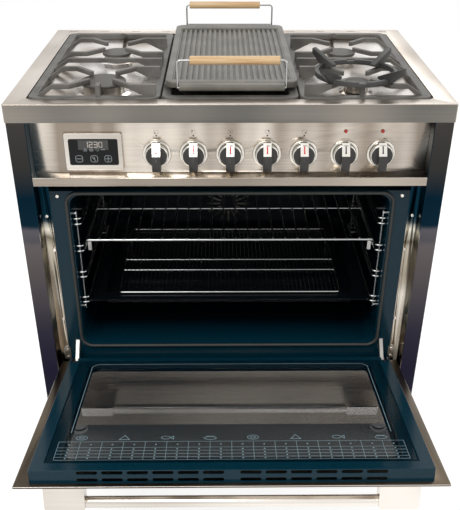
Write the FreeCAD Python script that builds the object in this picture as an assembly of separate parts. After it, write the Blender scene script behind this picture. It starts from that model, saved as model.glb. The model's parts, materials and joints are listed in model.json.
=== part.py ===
"""Free-standing 900 mm range cooker with a gas hob, an electric oven and a storage drawer.

Millimetres. +X is the right-hand side seen from the front, +Y the back, +Z up. The origin is on the
floor under the middle of the worktop. The oven door is modelled open, as the cooker is shown.
"""
import FreeCAD, Part
import math
import os
from FreeCAD import Vector

os.makedirs("parts", exist_ok=True)

# ---------------------------------------------------------------- driving dimensions
# Overall
WORKTOP_W = 900.0
WORKTOP_D = 600.0
WORKTOP_Z = 900.0            # worktop surface above the floor
LEG_H = 60.0                 # clear height under the base
SHEET = 1.2                  # stainless and chassis sheet
ENAMEL_SHEET = 1.0           # oven muffle sheet
FIT = 0.4                    # gap between fixed neighbours that are pushed together
SLIP = 0.3                   # gap between pieces that move past each other
SHAFT_GAP = 0.08             # radial gap of a shaft in its hole

# Body
SIDE_OVERHANG = 2.0          # worktop past the side panels
BACK_OVERHANG = 24.0         # worktop past the back panel
COLUMN_W = 38.6              # front face of each side column
COLUMN_SETBACK = 3.0         # column face behind the worktop's front edge
FLANGE_W = 20.4              # stainless flange beside the enamelled oven front
FOLD_R = 2.0                 # outside radius of the visible folds
BACK_FLANGE = 20.0           # flange of a side panel behind the back panel
TOP_CORNER_R = 4.0           # vertical corners of the worktop

# Worktop and hob
APRON_H = 38.0
RIM_SIDE = 40.0
RIM_FRONT = 31.0
RIM_BACK = 38.0
RIM_R = 14.0                 # corners of the hob recess
COLUMN_TUCK = 15.0           # column front behind the apron
HOB_DEPTH = 10.0             # recess of the tray below the worktop
VENT_COUNT = 11
VENT_PITCH = 81.0
VENT_L = 22.0
VENT_W = 3.0
VENT_INSET = 17.0            # slot centre line from the worktop's back edge
TRAY_SHEET = 1.0
TRAY_TUCK = 12.0             # tray under the rim
DOME_H = 3.0
DOME_SKIRT = 8.0             # sloping skirt of a dome
DOME_MARGIN = 9.0            # flat of a dome around its burner

# Burners
BURNER_X = 264.0
BURNER_FRONT_Y = -184.0
BURNER_REAR_Y = 56.0
BURNER_CENTRE_Y = -64.0
LARGE_HEAD_D = 85.0
LARGE_CAP_D = 94.0
LARGE_HEAD_H = 15.0
MEDIUM_HEAD_D = 60.0
MEDIUM_CAP_D = 68.0
MEDIUM_HEAD_H = 10.0
SMALL_HEAD_D = 40.0
SMALL_CAP_D = 58.0
SMALL_HEAD_H = 13.0
LOW_HEAD_D = 60.0            # the burner under the griddle
LOW_CAP_D = 66.0
LOW_HEAD_H = 4.0
CAP_T = 5.0
CUP_DROP = 26.0              # cup under the tray
CUP_STEP = 8.0               # cup inside its head's rim
FLAME_SLOT_W = 1.6
FLAME_SLOT_H = 3.0
FLAME_SLOT_PITCH = 11.0      # along the rim of the head
ELECTRODE_D = 5.0
ELECTRODE_OUT = 5.0          # electrode's axis outside the head
ELECTRODE_DROP = 22.0
ELECTRODE_ANGLES = (150.0, 330.0)
CROWN_WALL = 10.0
CUP_WALL = 2.0
CAP_EDGE = 1.8
CAP_SPIGOT = 2.0
ELECTRODE_RISE = 3.0         # tip below the underside of the cap

# Grates
GRATE_GAP = 2.5              # between two grates
GRATE_EDGE = 3.0             # between a grate and the rim
GRATE_BAR = 18.0             # width of the frame
GRATE_RISE = 2.0             # top of the frame above the worktop
GRATE_EDGE_R = 2.5
CENTRE_GRATE_HALF = 138.5
FINGER_W = 9.0
FINGER_T = 9.0
FINGER_TOP = 24.0            # above the worktop
FINGER_TIP = 27.0            # finger tips from the burner's axis, along X and along Y
FINGER_BEND = 62.0           # where a finger turns towards its burner, likewise
FINGER_RAMP = 31.0           # slope down to the outer frame bar
WEB_L = 44.0                 # triangular web under a finger's inner end
WEB_FOOT = 3.0               # web's foot above the tray
CROSS_BAR_Y = -58.0
STUB_L = 14.0                # front stub, past the frame bar
BACK_STUB_L = 42.0
BACK_STUB_RISE = 13.0
GRATE_R = 20.0               # outer corners of a grate
STUB_X = 266.0
LOW_TOP = 11.0               # top of the centre grate's bars above the worktop
LOW_BAR_T = 6.5
LOW_BARS = (-200.0, -126.0, -2.0, 80.0, 162.0)

# Wok ring
WOK_X = 262.0
WOK_Y = -186.0
WOK_RING_R = 86.0            # outside
WOK_RING_W = 8.0
WOK_RING_H = 10.0
WOK_ARM_W = 12.0
WOK_ARM_IN = 57.0
WOK_ARM_OUT = 114.0
WOK_ARM_RISE = 26.0
WOK_ARM_T = 10.0
WOK_ARM_NOSE = 4.0           # arm's depth at its inner end
WOK_NOTCH_W = 16.0
WOK_NOTCH_H = 3.0

# Griddle
GRIDDLE_W = 271.0
GRIDDLE_L = 487.0
GRIDDLE_X = 3.0
GRIDDLE_Y = 13.5
GRIDDLE_T = 12.0
GRIDDLE_FIELD_W = 243.0      # ribbed field
GRIDDLE_FIELD_DROP = 2.0
GROOVE_COUNT = 20
GROOVE_W = 5.5
GROOVE_DEPTH = 4.5
GROOVE_FRONT = 17.0          # groove ends from the griddle's front end
GROOVE_REAR = 41.0
LIP_W = 213.0
LIP_D = 26.0
LIP_OUT = 20.0               # lip beyond the plate's end
LIP_H = 13.0
LIP_SINK = 14.0              # underside of the lip below the top face
LIP_R = 5.0
BAIL_WIRE = 4.0
BAIL_H = 55.5                # pivot to grip
BAIL_OUT = 11.0              # pivot beyond the plate's end
BAIL_DROP = 8.5              # pivot below the plate's top face
BAIL_LEG_GAP = 1.0           # between a leg and the lip's end
BAIL_R = 7.0
BAIL_PIN = 9.0               # length of wire in the lip
GRIP_L = 180.0
GRIP_D = 17.5
GRIP_SHIFT_FRONT = 6.0       # the grips slide along the wire
GRIP_SHIFT_REAR = -12.0
GRIP_GAP = 0.1
GRIP_EDGE = 2.0

# Control fascia
FASCIA_DEPTH = 34.0          # fascia face behind the worktop's front edge
FASCIA_TOP = 880.0
FASCIA_BOTTOM = 741.5        # ledge below the controls
LIP_SETBACK = 3.0            # lip behind the worktop's front edge
LIP_FACE_H = 20.0
LIP_RETURN = 34.0
KNOB_Z = 783.0
GAS_PITCH = 76.0
OVEN_KNOB_X = (237.0, 313.0)
KNOB_R = 24.2
KNOB_SKIRT_T = 12.0
KNOB_STANDOFF = 5.0          # air between fascia and knob
KNOB_EDGE = 2.0
GRIP_W = 18.0
GRIP_OUT = 16.0              # knob's grip in front of its skirt
GRIP_TOP = 21.5              # grip's sloping top end above the axis
GRIP_SHOULDER = 15.0         # where the slope meets the grip's face
GRIP_TAIL = 29.0
GRIP_HEEL = 12.0             # grip's depth at its tail
TAIL_BACK = 6.0              # tail's depth along the skirt
POINTER_W = 2.0
POINTER_DEPTH = 0.5
RING_R = 29.8
RING_HOLE_R = 25.0
RING_T = 5.0
SPINDLE_R = 3.0
SPINDLE_FLAT = 2.2           # flat of the spindle from its axis
SPINDLE_IN = 8.0             # spindle inside the knob
SPINDLE_HOLE_R = 4.5         # fascia's hole around a spindle
GAS_SPINDLE_IN = 12.0        # end of a gas knob's spindle behind the tap's front face
SLEEVE_SET = 2.0             # sleeve and neck behind the fascia
SLEEVE_R = 6.0               # turning sleeve of a gas tap
SLEEVE_L = 30.0
SWITCH_R = 20.0
SWITCH_L = 40.0
SWITCH_BORE = 24.0
LAMP_R = 3.7
LAMP_Z = 831.0
LAMP_PROUD = 1.5
LAMP_L = 14.0
CLOCK_X = -282.0
CLOCK_Z = 789.0
CLOCK_W = 120.0
CLOCK_H = 82.0
CLOCK_PROUD = 7.0
CLOCK_GLASS_W = 101.0
CLOCK_GLASS_H = 57.0
CLOCK_BODY_D = 38.0
CLOCK_BEZEL = 6.0            # bezel past the hole in the fascia
CLOCK_R = 4.0
CLOCK_GLASS_T = 2.0
CLOCK_GLASS_SINK = 0.6

# Gas train behind the fascia
TAP_W = 24.0
TAP_H = 34.0
TAP_L = 40.0
TAP_SET = 12.0               # tap body behind the fascia
TAP_NECK_R = 9.0
RAIL_W = 18.0                # square gas rail under the taps
RAIL_END = 20.0              # rail past the outer taps
PIPE_R = 3.0
PIPE_BEND = 9.0
PIPE_RISE = 18.0             # top run below a burner cup
INLET_R = 10.5
SUPPLY_R = 8.0
SUPPLY_BEND = 24.0
INLET_X = 400.0
INLET_BEND_Y = -120.0        # where the supply pipe crosses to its side
INLET_NUT_R = 15.0
INLET_NUT_L = 6.0
INLET_OUT = 20.0             # thread past the back panel

# Oven
FRAME_SETBACK = 43.0         # enamelled front behind the worktop's front edge
CAVITY_HALF_W = 348.0
CAVITY_BOTTOM = 291.0
CAVITY_TOP = 683.0
CAVITY_D = 417.0
CAVITY_R = 26.0
FRAME_TOP = 693.0
FRAME_BOTTOM = 243.0
FRAME_LIP = 16.0
GASKET_R = 3.5
GASKET_INSET = 6.0           # gasket's line outside the cavity
FAN_R = 72.0
FAN_D = 13.0
FAN_Z = 470.0
FAN_HUB_R = 14.0
FAN_BLADES = 12
FAN_SHAFT_R = 4.0
FAN_COVER_W = 430.0
FAN_COVER_H = 300.0
FAN_COVER_D = 26.0
FAN_COVER_SLOTS = 16
FAN_SLOT_W = 5.0
FAN_SLOT_IN = 22.0
FAN_SLOT_OUT = 60.0
FAN_SIDE_SLOTS = 5
MOTOR_R = 42.0
MOTOR_L = 46.0
SHAFT_IN = 30.0              # fan shaft inside the motor
ELEMENT_R = 4.0
ELEMENT_TAIL = 14.0          # element ends behind the back wall
RING_ELEMENT_R = 98.0
RING_TAIL_X = 18.0            # the ring's two ends, from its middle line
TERMINAL_R = 3.2
GRILL_Z = 664.0
GRILL_HALF_W = 270.0
GRILL_FRONT = 60.0           # behind the oven front
GRILL_STEP = 46.0
GRILL_TAIL_X = 40.0
GRILL_BEND = 14.0
LAMP_GLASS_R = 26.0
LAMP_GLASS_H = 14.0
LAMP_POS_X = 250.0           # oven lamp on the back wall
LAMP_POS_Z = 640.0

# Shelf ladders, rack and tray
WIRE = 5.0
LADDER_LEVELS = 4
LADDER_PITCH = 69.0
LADDER_TOP = 609.5           # middle of the top pair
LADDER_PAIR = 13.5
LADDER_FRONT = 24.0          # front post behind the oven front
LADDER_BACK = 385.0
LADDER_IN = 17.0             # runner wires from the wall
LADDER_POST_IN = 7.0         # posts from the wall
LADDER_TAIL = 17.0           # post past the outermost runner wires
LADDER_STUD_R = 3.5
LADDER_END_IN = 2.0          # runner's end from the wall
RUNNER_BEND = 9.0
RACK_LEVEL = 1               # second pair from the top
TRAY_LEVEL = 3
RACK_FRONT_WIRE = 7.0
RACK_SIDE_WIRE = 6.0
RACK_BAR_WIRE = 5.0
RACK_DECK_WIRE = 4.0
RACK_DECK_PITCH = 28.6
RACK_FRONT = 60.0            # behind the oven front
RACK_DEPTH = 328.0
RACK_RAIL_IN = 12.0          # end of the front rail from the cavity wall
RACK_BARS = (160.0, 250.0)
RACK_WELD = 0.6              # how far crossing wires are pressed together
RACK_STOP_W = 8.0
RACK_STOP_T = 2.0
RACK_STOP_H = 29.0
PAN_FRONT = 18.0
PAN_DEPTH = 368.0
PAN_FLANGE = 36.0
PAN_WELL_H = 28.0
PAN_SHEET = 1.5
PAN_EDGE_H = 5.0
PAN_HOLE_R = 2.8
PAN_HOLE_PITCH = 24.6
PAN_HOLE_START = 30.0
PAN_HOLE_IN = 22.0           # hole row from the flange's edge
PAN_R = 12.0
PAN_HOLES = 13
GRID_W = 528.0
GRID_DEPTH = 318.0
GRID_FRAME_WIRE = 5.0
GRID_BAR_WIRE = 4.4
GRID_LEG_WIRE = 4.0
GRID_WIRE = 2.4
GRID_PITCH = 10.2
GRID_BARS = (102.0, 153.0)
GRID_LEGS = (40.0, 278.0)
GRID_OVER = 6.0              # grid's front over the tray's front flange
GRID_LIFT = 4.0              # grid's axis above the flange

# Oven door, as seen closed: heights above the floor
DOOR_GAP = 4.4               # beside the door, to the columns
DOOR_TOP = 718.0
DOOR_BOTTOM = 244.0
DOOR_OPEN_TILT = 9.1         # open door above level
DOOR_T = 28.4                # inner frame
PANEL_T = 4.0                # outer panel's folded edge
PANEL_SHEET = 1.2
DOOR_TO_FRAME = 7.6          # closed door's inner face to the oven front
HINGE_Z = 257.5
HINGE_BACK = 8.8             # hinge axis behind the outer panel's inner face
INNER_HALF_W = 376.5
INNER_TOP_INSET = 10.3
INNER_BOTTOM = 22.8          # inner frame's lower end above the hinge axis
INNER_SHEET = 1.5
INNER_BORDER = 24.5          # enamelled border beside the inner glass
INNER_BORDER_TOP = 23.0
INNER_BORDER_BOTTOM = 12.0
INNER_R = 3.0
PANEL_FLANGE = 36.0          # flange folded in behind the outer panel
GLASS_T = 4.0
GLASS_LEDGE_SIDE = 25.0      # ledge under the inner glass
GLASS_LEDGE_END = 11.0
INNER_OPENING_R = 18.0
GLASS_GROOVE = 3.0
WINDOW_HALF_W = 324.0
WINDOW_LOW = 33.0            # outer window's lower edge above the hinge axis
WINDOW_HIGH = 370.0
WINDOW_LAP = 8.0             # outer glass behind the panel
WINDOW_R = 10.0
SLOT_GROUPS = 6
SLOT_L = 39.4
SLOT_PITCH = 46.8
SLOT_H = 7.4
SLOT_ROWS = (5.2, 21.0)      # from the inner face
SLOT_FIRST = 14.7
HANDLE_BLOCK_W = 77.0
HANDLE_BLOCK_T = 24.0
HANDLE_BLOCK_OUT = 63.0
HANDLE_BLOCK_IN = 277.0      # inner side of a block from the middle
HANDLE_DROP = 27.0           # block's middle below the panel's top edge
HANDLE_TUBE_R = 12.0
HANDLE_TUBE_OUT = 51.0
HANDLE_TUBE_WALL = 1.5
HANDLE_TUBE_SLIM = 1.0       # tube inside the block's height
HANDLE_TUBE_IN = 12.0        # tube inside a block
HANDLE_BLOCK_R = 7.0
HINGE_X = 365.0
ARM_W = 8.0                  # hinge arm, across
ARM_TOP = 299.0              # arm's point on the oven front
ARM_LOW = 270.0
ARM_EYE_R = 6.5
ARM_REACH = 40.0             # arm and its receiver behind the oven front
CHEEK_T = 2.0                # the door's hinge cheeks beside the arm
CHEEK_L = 130.0
CHEEK_R = 7.0
ARM_SLOT_GAP = 1.5
RECEIVER_W = 18.0
PANEL_EDGE_R = 1.0
HINGE_PIN_R = 3.0
BRACKET_X = 392.5
BRACKET_W = 15.0
BRACKET_TOP = 280.0
BRACKET_BOTTOM = 245.0
BRACKET_T = 2.0
BRACKET_R = 5.0

# Storage drawer
DRAWER_TOP = 236.0
DRAWER_BOTTOM = 64.0
DRAWER_T = 16.0
DRAWER_SHEET = 1.2
DRAWER_SIDE_GAP = 3.0
DRAWER_BOX_HALF_W = 372.0
DRAWER_BOX_H = 105.0
DRAWER_BOX_D = 430.0
DRAWER_BOX_Z = 82.0
DRAWER_HANDLE_Z = 162.0
DRAWER_HEM = 40.0            # hem behind the drawer's front
DRAWER_LIP_START = 30.0
RAIL_TOP = 150.0             # drawer rails, above the floor
RAIL_H = 22.0
RAIL_T = 10.0
RAIL_GAP = 2.0
RAIL_L = 400.0
RAIL_POST = 30.0

# Chassis
LEG_R = 19.0
LEG_STEM_R = 9.0
LEG_FOOT_H = 15.0            # underside of the sleeve
LEG_PAD_H = 9.0
LEG_EDGE = 2.0
LEG_INSET_X = 60.0
LEG_INSET_Y = 58.0
LOUVRE_COUNT = 8
LOUVRE_L = 60.0
LOUVRE_H = 5.0
LOUVRE_PITCH = 84.0
LOUVRE_ROWS = (560.0, 590.0, 620.0)
SCREW_HEAD_R = 4.0
SCREW_HEAD_H = 2.0
SCREW_SHANK_R = 1.9
SCREW_HOLE_R = 2.05
SCREW_L = 8.0
FLANGE_SCREWS = ((392.5, 360.0), (392.5, 548.0), (400.0, 633.0))
FRAME_SCREWS = ((372.0, 681.0),)
BRACKET_SCREWS = ((392.5, 249.5), (392.5, 271.5))
BACK_SCREWS = ((438.0, 90.0), (438.0, 340.0), (438.0, 590.0), (438.0, 860.0))

# ---------------------------------------------------------------- places that follow
FRONT_Y = -WORKTOP_D / 2
BACK_Y = WORKTOP_D / 2
BODY_HALF = WORKTOP_W / 2 - SIDE_OVERHANG
COLUMN_IN = BODY_HALF - COLUMN_W
COLUMN_Y = FRONT_Y + COLUMN_SETBACK
FRAME_Y = FRONT_Y + FRAME_SETBACK
BODY_BACK_Y = BACK_Y - BACK_OVERHANG
FLANGE_IN = COLUMN_IN - FLANGE_W
UNDER_TOP = WORKTOP_Z - SHEET
FASCIA_Y = FRONT_Y + FASCIA_DEPTH
CAVITY_BACK_Y = FRAME_Y + CAVITY_D
HOB_HALF_W = WORKTOP_W / 2 - RIM_SIDE
HOB_FRONT_Y = FRONT_Y + RIM_FRONT
HOB_BACK_Y = BACK_Y - RIM_BACK
TRAY_Z = WORKTOP_Z - HOB_DEPTH
DOME_Z = TRAY_Z + DOME_H
FINGER_Z = WORKTOP_Z + FINGER_TOP
GRIDDLE_Z = WORKTOP_Z + LOW_TOP + SLIP + GRIDDLE_T
PANEL_Y = FRAME_Y - DOOR_TO_FRAME - DOOR_T      # closed: outer panel's inner face
HINGE_Y = PANEL_Y + HINGE_BACK
DOOR_HALF_W = COLUMN_IN - DOOR_GAP
DOOR_CLOSE_ANGLE = 90.0 - DOOR_OPEN_TILT

BURNERS = (
    # x, y, head diameter, cap diameter, head height
    (-BURNER_X, BURNER_FRONT_Y, LARGE_HEAD_D, LARGE_CAP_D, LARGE_HEAD_H),
    (-BURNER_X, BURNER_REAR_Y, MEDIUM_HEAD_D, MEDIUM_CAP_D, MEDIUM_HEAD_H),
    (0.0, BURNER_CENTRE_Y, LOW_HEAD_D, LOW_CAP_D, LOW_HEAD_H),
    (BURNER_X, BURNER_REAR_Y, MEDIUM_HEAD_D, MEDIUM_CAP_D, MEDIUM_HEAD_H),
    (BURNER_X, BURNER_FRONT_Y, SMALL_HEAD_D, SMALL_CAP_D, SMALL_HEAD_H),
)
GAS_KNOB_X = tuple(GAS_PITCH * (i - 2) for i in range(5))
TAP_Y = FASCIA_Y + SHEET + TAP_SET
RAIL_Z = KNOB_Z - TAP_H / 2 - RAIL_W / 2
LEG_X = WORKTOP_W / 2 - LEG_INSET_X
LEG_Y = WORKTOP_D / 2 - LEG_INSET_Y
BAIL_Z = GRIDDLE_Z - BAIL_DROP
BAIL_FRONT_Y = GRIDDLE_Y - GRIDDLE_L / 2 - BAIL_OUT
BAIL_REAR_Y = GRIDDLE_Y + GRIDDLE_L / 2 + BAIL_OUT
GRILL_ENDS = [(side * GRILL_TAIL_X, GRILL_Z) for side in (-1, 1)]
RING_ENDS = [(side * RING_TAIL_X, FAN_Z + math.sqrt(RING_ELEMENT_R ** 2 - RING_TAIL_X ** 2)) for side in (-1, 1)]


# ---------------------------------------------------------------- shape helpers
def box(x0, x1, y0, y1, z0, z1):
    return Part.makeBox(x1 - x0, y1 - y0, z1 - z0, Vector(x0, y0, z0))


def cylinder(start, end, radius):
    start, end = Vector(*start), Vector(*end)
    return Part.makeCylinder(radius, (end - start).Length, start, end - start)


def fuse(shapes):
    shapes = list(shapes)
    return shapes[0].multiFuse(shapes[1:]).removeSplitter() if len(shapes) > 1 else shapes[0]


def cut(shape, tools):
    return shape.cut(Part.makeCompound(list(tools)))


def mirrored(shape):
    """The same piece on the other side of the cooker."""
    return shape.mirror(Vector(0, 0, 0), Vector(1, 0, 0))


def plate(points, thickness, direction):
    """A flat polygon pushed along a direction."""
    face = Part.Face(Part.makePolygon([Vector(*p) for p in points + [points[0]]]))
    return face.extrude(Vector(*direction) * thickness)


def rounded(x0, x1, z0, z1, radius, y0, y1):
    """A block along Y whose X-Z section has rounded corners."""
    block = box(x0, x1, y0, y1, z0, z1)
    edges = [e for e in block.Edges if abs(e.tangentAt(e.FirstParameter).y) > 0.99]
    return block.makeFillet(radius, edges)


def rounded_z(x0, x1, y0, y1, radius, z0, z1):
    """A block along Z whose X-Y section has rounded corners."""
    block = box(x0, x1, y0, y1, z0, z1)
    edges = [e for e in block.Edges if abs(e.tangentAt(e.FirstParameter).z) > 0.99]
    return block.makeFillet(radius, edges)


def soften(shape, radius, choose):
    """Fillet the straight edges that choose(middle, direction) picks."""
    picked = []
    for edge in shape.Edges:
        if not isinstance(edge.Curve, (Part.Line, Part.LineSegment)):
            continue
        middle = edge.valueAt((edge.FirstParameter + edge.LastParameter) / 2)
        if choose(middle, edge.tangentAt(edge.FirstParameter)):
            picked.append(edge)
    return shape.makeFillet(radius, picked)


def wire_path(points, bend, closed=False):
    """Straight runs joined by tangent arcs of one radius."""
    points = [Vector(*p) for p in points]
    if closed:
        middle = (points[0] + points[1]) * 0.5
        points = [middle] + points[1:] + [points[0], middle]
    edges = []
    here = points[0]
    for before, corner, after in zip(points, points[1:], points[2:]):
        back = (before - corner).normalize()
        ahead = (after - corner).normalize()
        half_turn = (math.pi - back.getAngle(ahead)) / 2
        reach = bend * math.tan(half_turn)
        start, end = corner + back * reach, corner + ahead * reach
        crown = corner + (back + ahead).normalize() * (bend / math.cos(half_turn) - bend)
        if (start - here).Length > 1e-6:
            edges.append(Part.LineSegment(here, start).toShape())
        edges.append(Part.Arc(start, crown, end).toShape())
        here = end
    edges.append(Part.LineSegment(here, points[-1]).toShape())
    return Part.Wire(edges)


def rod(points, radius, bend, closed=False):
    """Round wire or tube bent along a path."""
    path = wire_path(points, bend, closed)
    first = path.Edges[0]
    start = first.valueAt(first.FirstParameter)
    profile = Part.Wire(Part.Circle(start, first.tangentAt(first.FirstParameter), radius).toShape())
    return path.makePipeShell([profile], True, True)


def door_open(shape):
    """Carry a piece of the closed door to the open door."""
    turned = shape.copy()
    turned.rotate(Vector(0, HINGE_Y, HINGE_Z), Vector(1, 0, 0), DOOR_CLOSE_ANGLE)
    return turned


def save(node, *solids):
    shapes = []
    for solid in solids:
        shapes.extend(solid.Solids)
    whole = shapes[0] if len(shapes) == 1 else Part.makeCompound(shapes)
    if not whole.isValid():
        print("NOT VALID", node)
    whole.exportStep("parts/%s.step" % node)
    limits = whole.BoundBox
    print("%-20s %2d solids  x %.1f..%.1f  y %.1f..%.1f  z %.1f..%.1f" % (
        node, len(shapes), limits.XMin, limits.XMax, limits.YMin, limits.YMax, limits.ZMin, limits.ZMax))


# ---------------------------------------------------------------- body panels
def side_panel():
    """One folded sheet: side skin, column front, its return and the flange beside the oven."""
    top = WORKTOP_Z - APRON_H + COLUMN_TUCK
    flange_y = FRAME_Y + SHEET
    column = fuse([
        box(COLUMN_IN, BODY_HALF, COLUMN_Y, COLUMN_Y + SHEET, LEG_H, top),
        box(COLUMN_IN, COLUMN_IN + SHEET, COLUMN_Y, flange_y, LEG_H, top),
        box(FLANGE_IN, COLUMN_IN + SHEET, FRAME_Y, flange_y, LEG_H, top),
        box(BODY_HALF - SHEET, BODY_HALF, COLUMN_Y, BODY_BACK_Y - SHEET, LEG_H, top)])
    column = soften(column, FOLD_R, lambda m, d: abs(d.z) > 0.99 and m.y < COLUMN_Y + 0.01)
    skin = box(BODY_HALF - SHEET, BODY_HALF, COLUMN_Y + FOLD_R, BODY_BACK_Y - SHEET, top, UNDER_TOP)
    back = box(BODY_HALF - BACK_FLANGE, BODY_HALF, BODY_BACK_Y - 2 * SHEET, BODY_BACK_Y - SHEET, LEG_H, UNDER_TOP)
    holes = [screw_hole(x, FRAME_Y, z) for x, z in FLANGE_SCREWS + BRACKET_SCREWS]
    holes += [screw_hole(x, BODY_BACK_Y, z) for x, z in BACK_SCREWS]
    return cut(fuse([column, skin, back]), holes)


def back_panel():
    sheet = box(-BODY_HALF, BODY_HALF, BODY_BACK_Y - SHEET, BODY_BACK_Y, LEG_H, UNDER_TOP)
    holes = [cylinder((INLET_X, BODY_BACK_Y - 2 * SHEET, RAIL_Z), (INLET_X, BODY_BACK_Y + SHEET, RAIL_Z),
                      SUPPLY_R + FIT)]
    for z in LOUVRE_ROWS:
        for i in range(LOUVRE_COUNT):
            x = LOUVRE_PITCH * (i - (LOUVRE_COUNT - 1) / 2)
            holes.append(rounded(x - LOUVRE_L / 2, x + LOUVRE_L / 2, z, z + LOUVRE_H, LOUVRE_H / 2.1,
                                 BODY_BACK_Y - 2 * SHEET, BODY_BACK_Y + SHEET))
    for x, z in BACK_SCREWS:
        holes += [screw_hole(x, BODY_BACK_Y, z), screw_hole(-x, BODY_BACK_Y, z)]
    return cut(sheet, holes)


def base_pan():
    """Floor of the cooker, with the two rails that carry the drawer."""
    half = BODY_HALF - SHEET - FIT
    front, back = FRAME_Y + SHEET + FIT, BODY_BACK_Y - 2 * SHEET - FIT
    pieces = [box(-half, half, front, back, LEG_H, LEG_H + SHEET)]
    inner = DRAWER_BOX_HALF_W + RAIL_GAP
    for side in (-1, 1):
        def at(a, b, y0, y1, z0, z1):
            return box(min(side * a, side * b), max(side * a, side * b), y0, y1, z0, z1)
        pieces.append(at(half - SHEET, half, front, back, LEG_H, LEG_H + BACK_FLANGE))
        pieces.append(at(inner, inner + RAIL_T, front, front + RAIL_L, RAIL_TOP - RAIL_H, RAIL_TOP))
        for y in (front, front + RAIL_L - RAIL_POST):
            pieces.append(at(inner, inner + RAIL_T, y, y + RAIL_POST, LEG_H, RAIL_TOP - RAIL_H / 2))
    return fuse(pieces)


def leg(x, y):
    """Levelling foot: pad, threaded stem and sleeve under the base."""
    pad = cylinder((x, y, 0), (x, y, LEG_PAD_H), LEG_R)
    pad = pad.makeFillet(LEG_EDGE, [pad.Edges[0]])
    stem = cylinder((x, y, LEG_PAD_H), (x, y, LEG_FOOT_H), LEG_STEM_R)
    return fuse([pad, stem, cylinder((x, y, LEG_FOOT_H), (x, y, LEG_H), LEG_R)])


def worktop():
    """Pressed stainless top: rim, folded apron and the wall of the hob recess."""
    half_w = WORKTOP_W / 2
    low = WORKTOP_Z - APRON_H
    body = rounded_z(-half_w, half_w, FRONT_Y, BACK_Y, TOP_CORNER_R, low, WORKTOP_Z)
    body = body.makeFillet(FOLD_R, [e for e in body.Edges if e.BoundBox.ZMin > WORKTOP_Z - 0.01])
    body = body.cut(box(-half_w + SHEET, half_w - SHEET, FRONT_Y + SHEET, BACK_Y - SHEET, low, UNDER_TOP))
    recess = rounded_z(-HOB_HALF_W, HOB_HALF_W, HOB_FRONT_Y, HOB_BACK_Y, RIM_R, TRAY_Z, WORKTOP_Z)
    wall = rounded_z(-HOB_HALF_W - SHEET, HOB_HALF_W + SHEET, HOB_FRONT_Y - SHEET, HOB_BACK_Y + SHEET,
                     RIM_R + SHEET, TRAY_Z, UNDER_TOP)
    slots = []
    for i in range(VENT_COUNT):
        x = VENT_PITCH * (i - (VENT_COUNT - 1) / 2)
        y = BACK_Y - VENT_INSET
        slots.append(rounded_z(x - VENT_L / 2, x + VENT_L / 2, y - VENT_W / 2, y + VENT_W / 2,
                               VENT_W / 2.1, UNDER_TOP - SHEET, WORKTOP_Z))
    return cut(fuse([body, wall]), [recess] + slots)


# ---------------------------------------------------------------- hob
def hob_tray():
    """Enamel-free pressed tray with a low dome around each burner."""
    low = TRAY_Z - TRAY_SHEET
    solid = [box(-HOB_HALF_W - TRAY_TUCK, HOB_HALF_W + TRAY_TUCK, HOB_FRONT_Y - TRAY_TUCK,
                 HOB_BACK_Y + TRAY_TUCK, low, TRAY_Z)]
    hollow = []
    for x, y, head_d, cap_d, head_h in BURNERS:
        flat = head_d / 2 + DOME_MARGIN
        foot = flat + DOME_SKIRT
        solid.append(Part.makeCone(foot, flat, DOME_H, Vector(x, y, TRAY_Z)))
        hollow.append(Part.makeCone(foot, flat, DOME_H, Vector(x, y, low)))
        hollow.append(cylinder((x, y, low), (x, y, DOME_Z), head_d / 2 - CUP_STEP + FIT))
        for angle in ELECTRODE_ANGLES:
            ex, ey = around(x, y, head_d / 2 + ELECTRODE_OUT, angle)
            hollow.append(cylinder((ex, ey, low), (ex, ey, DOME_Z), ELECTRODE_D / 2 + FIT))
    return cut(fuse(solid), hollow)


def around(x, y, radius, angle):
    return x + radius * math.cos(math.radians(angle)), y + radius * math.sin(math.radians(angle))


def burner_crown(x, y, head_d, cap_d, head_h):
    """Flame ring: a hollow crown with slots under the cap."""
    top = DOME_Z + head_h
    crown = cylinder((x, y, DOME_Z), (x, y, top), head_d / 2)
    crown = crown.cut(cylinder((x, y, DOME_Z), (x, y, top), head_d / 2 - CROWN_WALL))
    count = int(math.pi * head_d / FLAME_SLOT_PITCH)
    slots = []
    for i in range(count):
        slot = box(x, x + head_d, y - FLAME_SLOT_W / 2, y + FLAME_SLOT_W / 2, top - FLAME_SLOT_H, top)
        slot.rotate(Vector(x, y, 0), Vector(0, 0, 1), 360.0 * i / count)
        slots.append(slot)
    return cut(crown, slots)


def burner_cup(x, y, head_d):
    """Cup that carries the head and takes the gas pipe."""
    radius = head_d / 2 - CUP_STEP
    cup = cylinder((x, y, DOME_Z - CUP_DROP), (x, y, DOME_Z), radius)
    return cup.cut(cylinder((x, y, DOME_Z - CUP_DROP + CUP_WALL), (x, y, DOME_Z), radius - CUP_WALL))


def burner_cap(x, y, head_d, cap_d, head_h):
    base = DOME_Z + head_h
    disc = cylinder((x, y, base), (x, y, base + CAP_T), cap_d / 2)
    disc = disc.makeFillet(CAP_EDGE, [e for e in disc.Edges if e.BoundBox.ZMin > base + CAP_T - 0.01])
    spigot = cylinder((x, y, base - CAP_SPIGOT), (x, y, base), head_d / 2 - CROWN_WALL - FIT)
    return fuse([disc, spigot])


def electrode(x, y, head_d, head_h, angle):
    ex, ey = around(x, y, head_d / 2 + ELECTRODE_OUT, angle)
    tip = DOME_Z + head_h - ELECTRODE_RISE
    rod_shape = cylinder((ex, ey, DOME_Z - ELECTRODE_DROP), (ex, ey, tip), ELECTRODE_D / 2)
    return rod_shape.makeFillet(ELECTRODE_D / 5, [e for e in rod_shape.Edges if e.BoundBox.ZMin > tip - 0.01])


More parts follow.
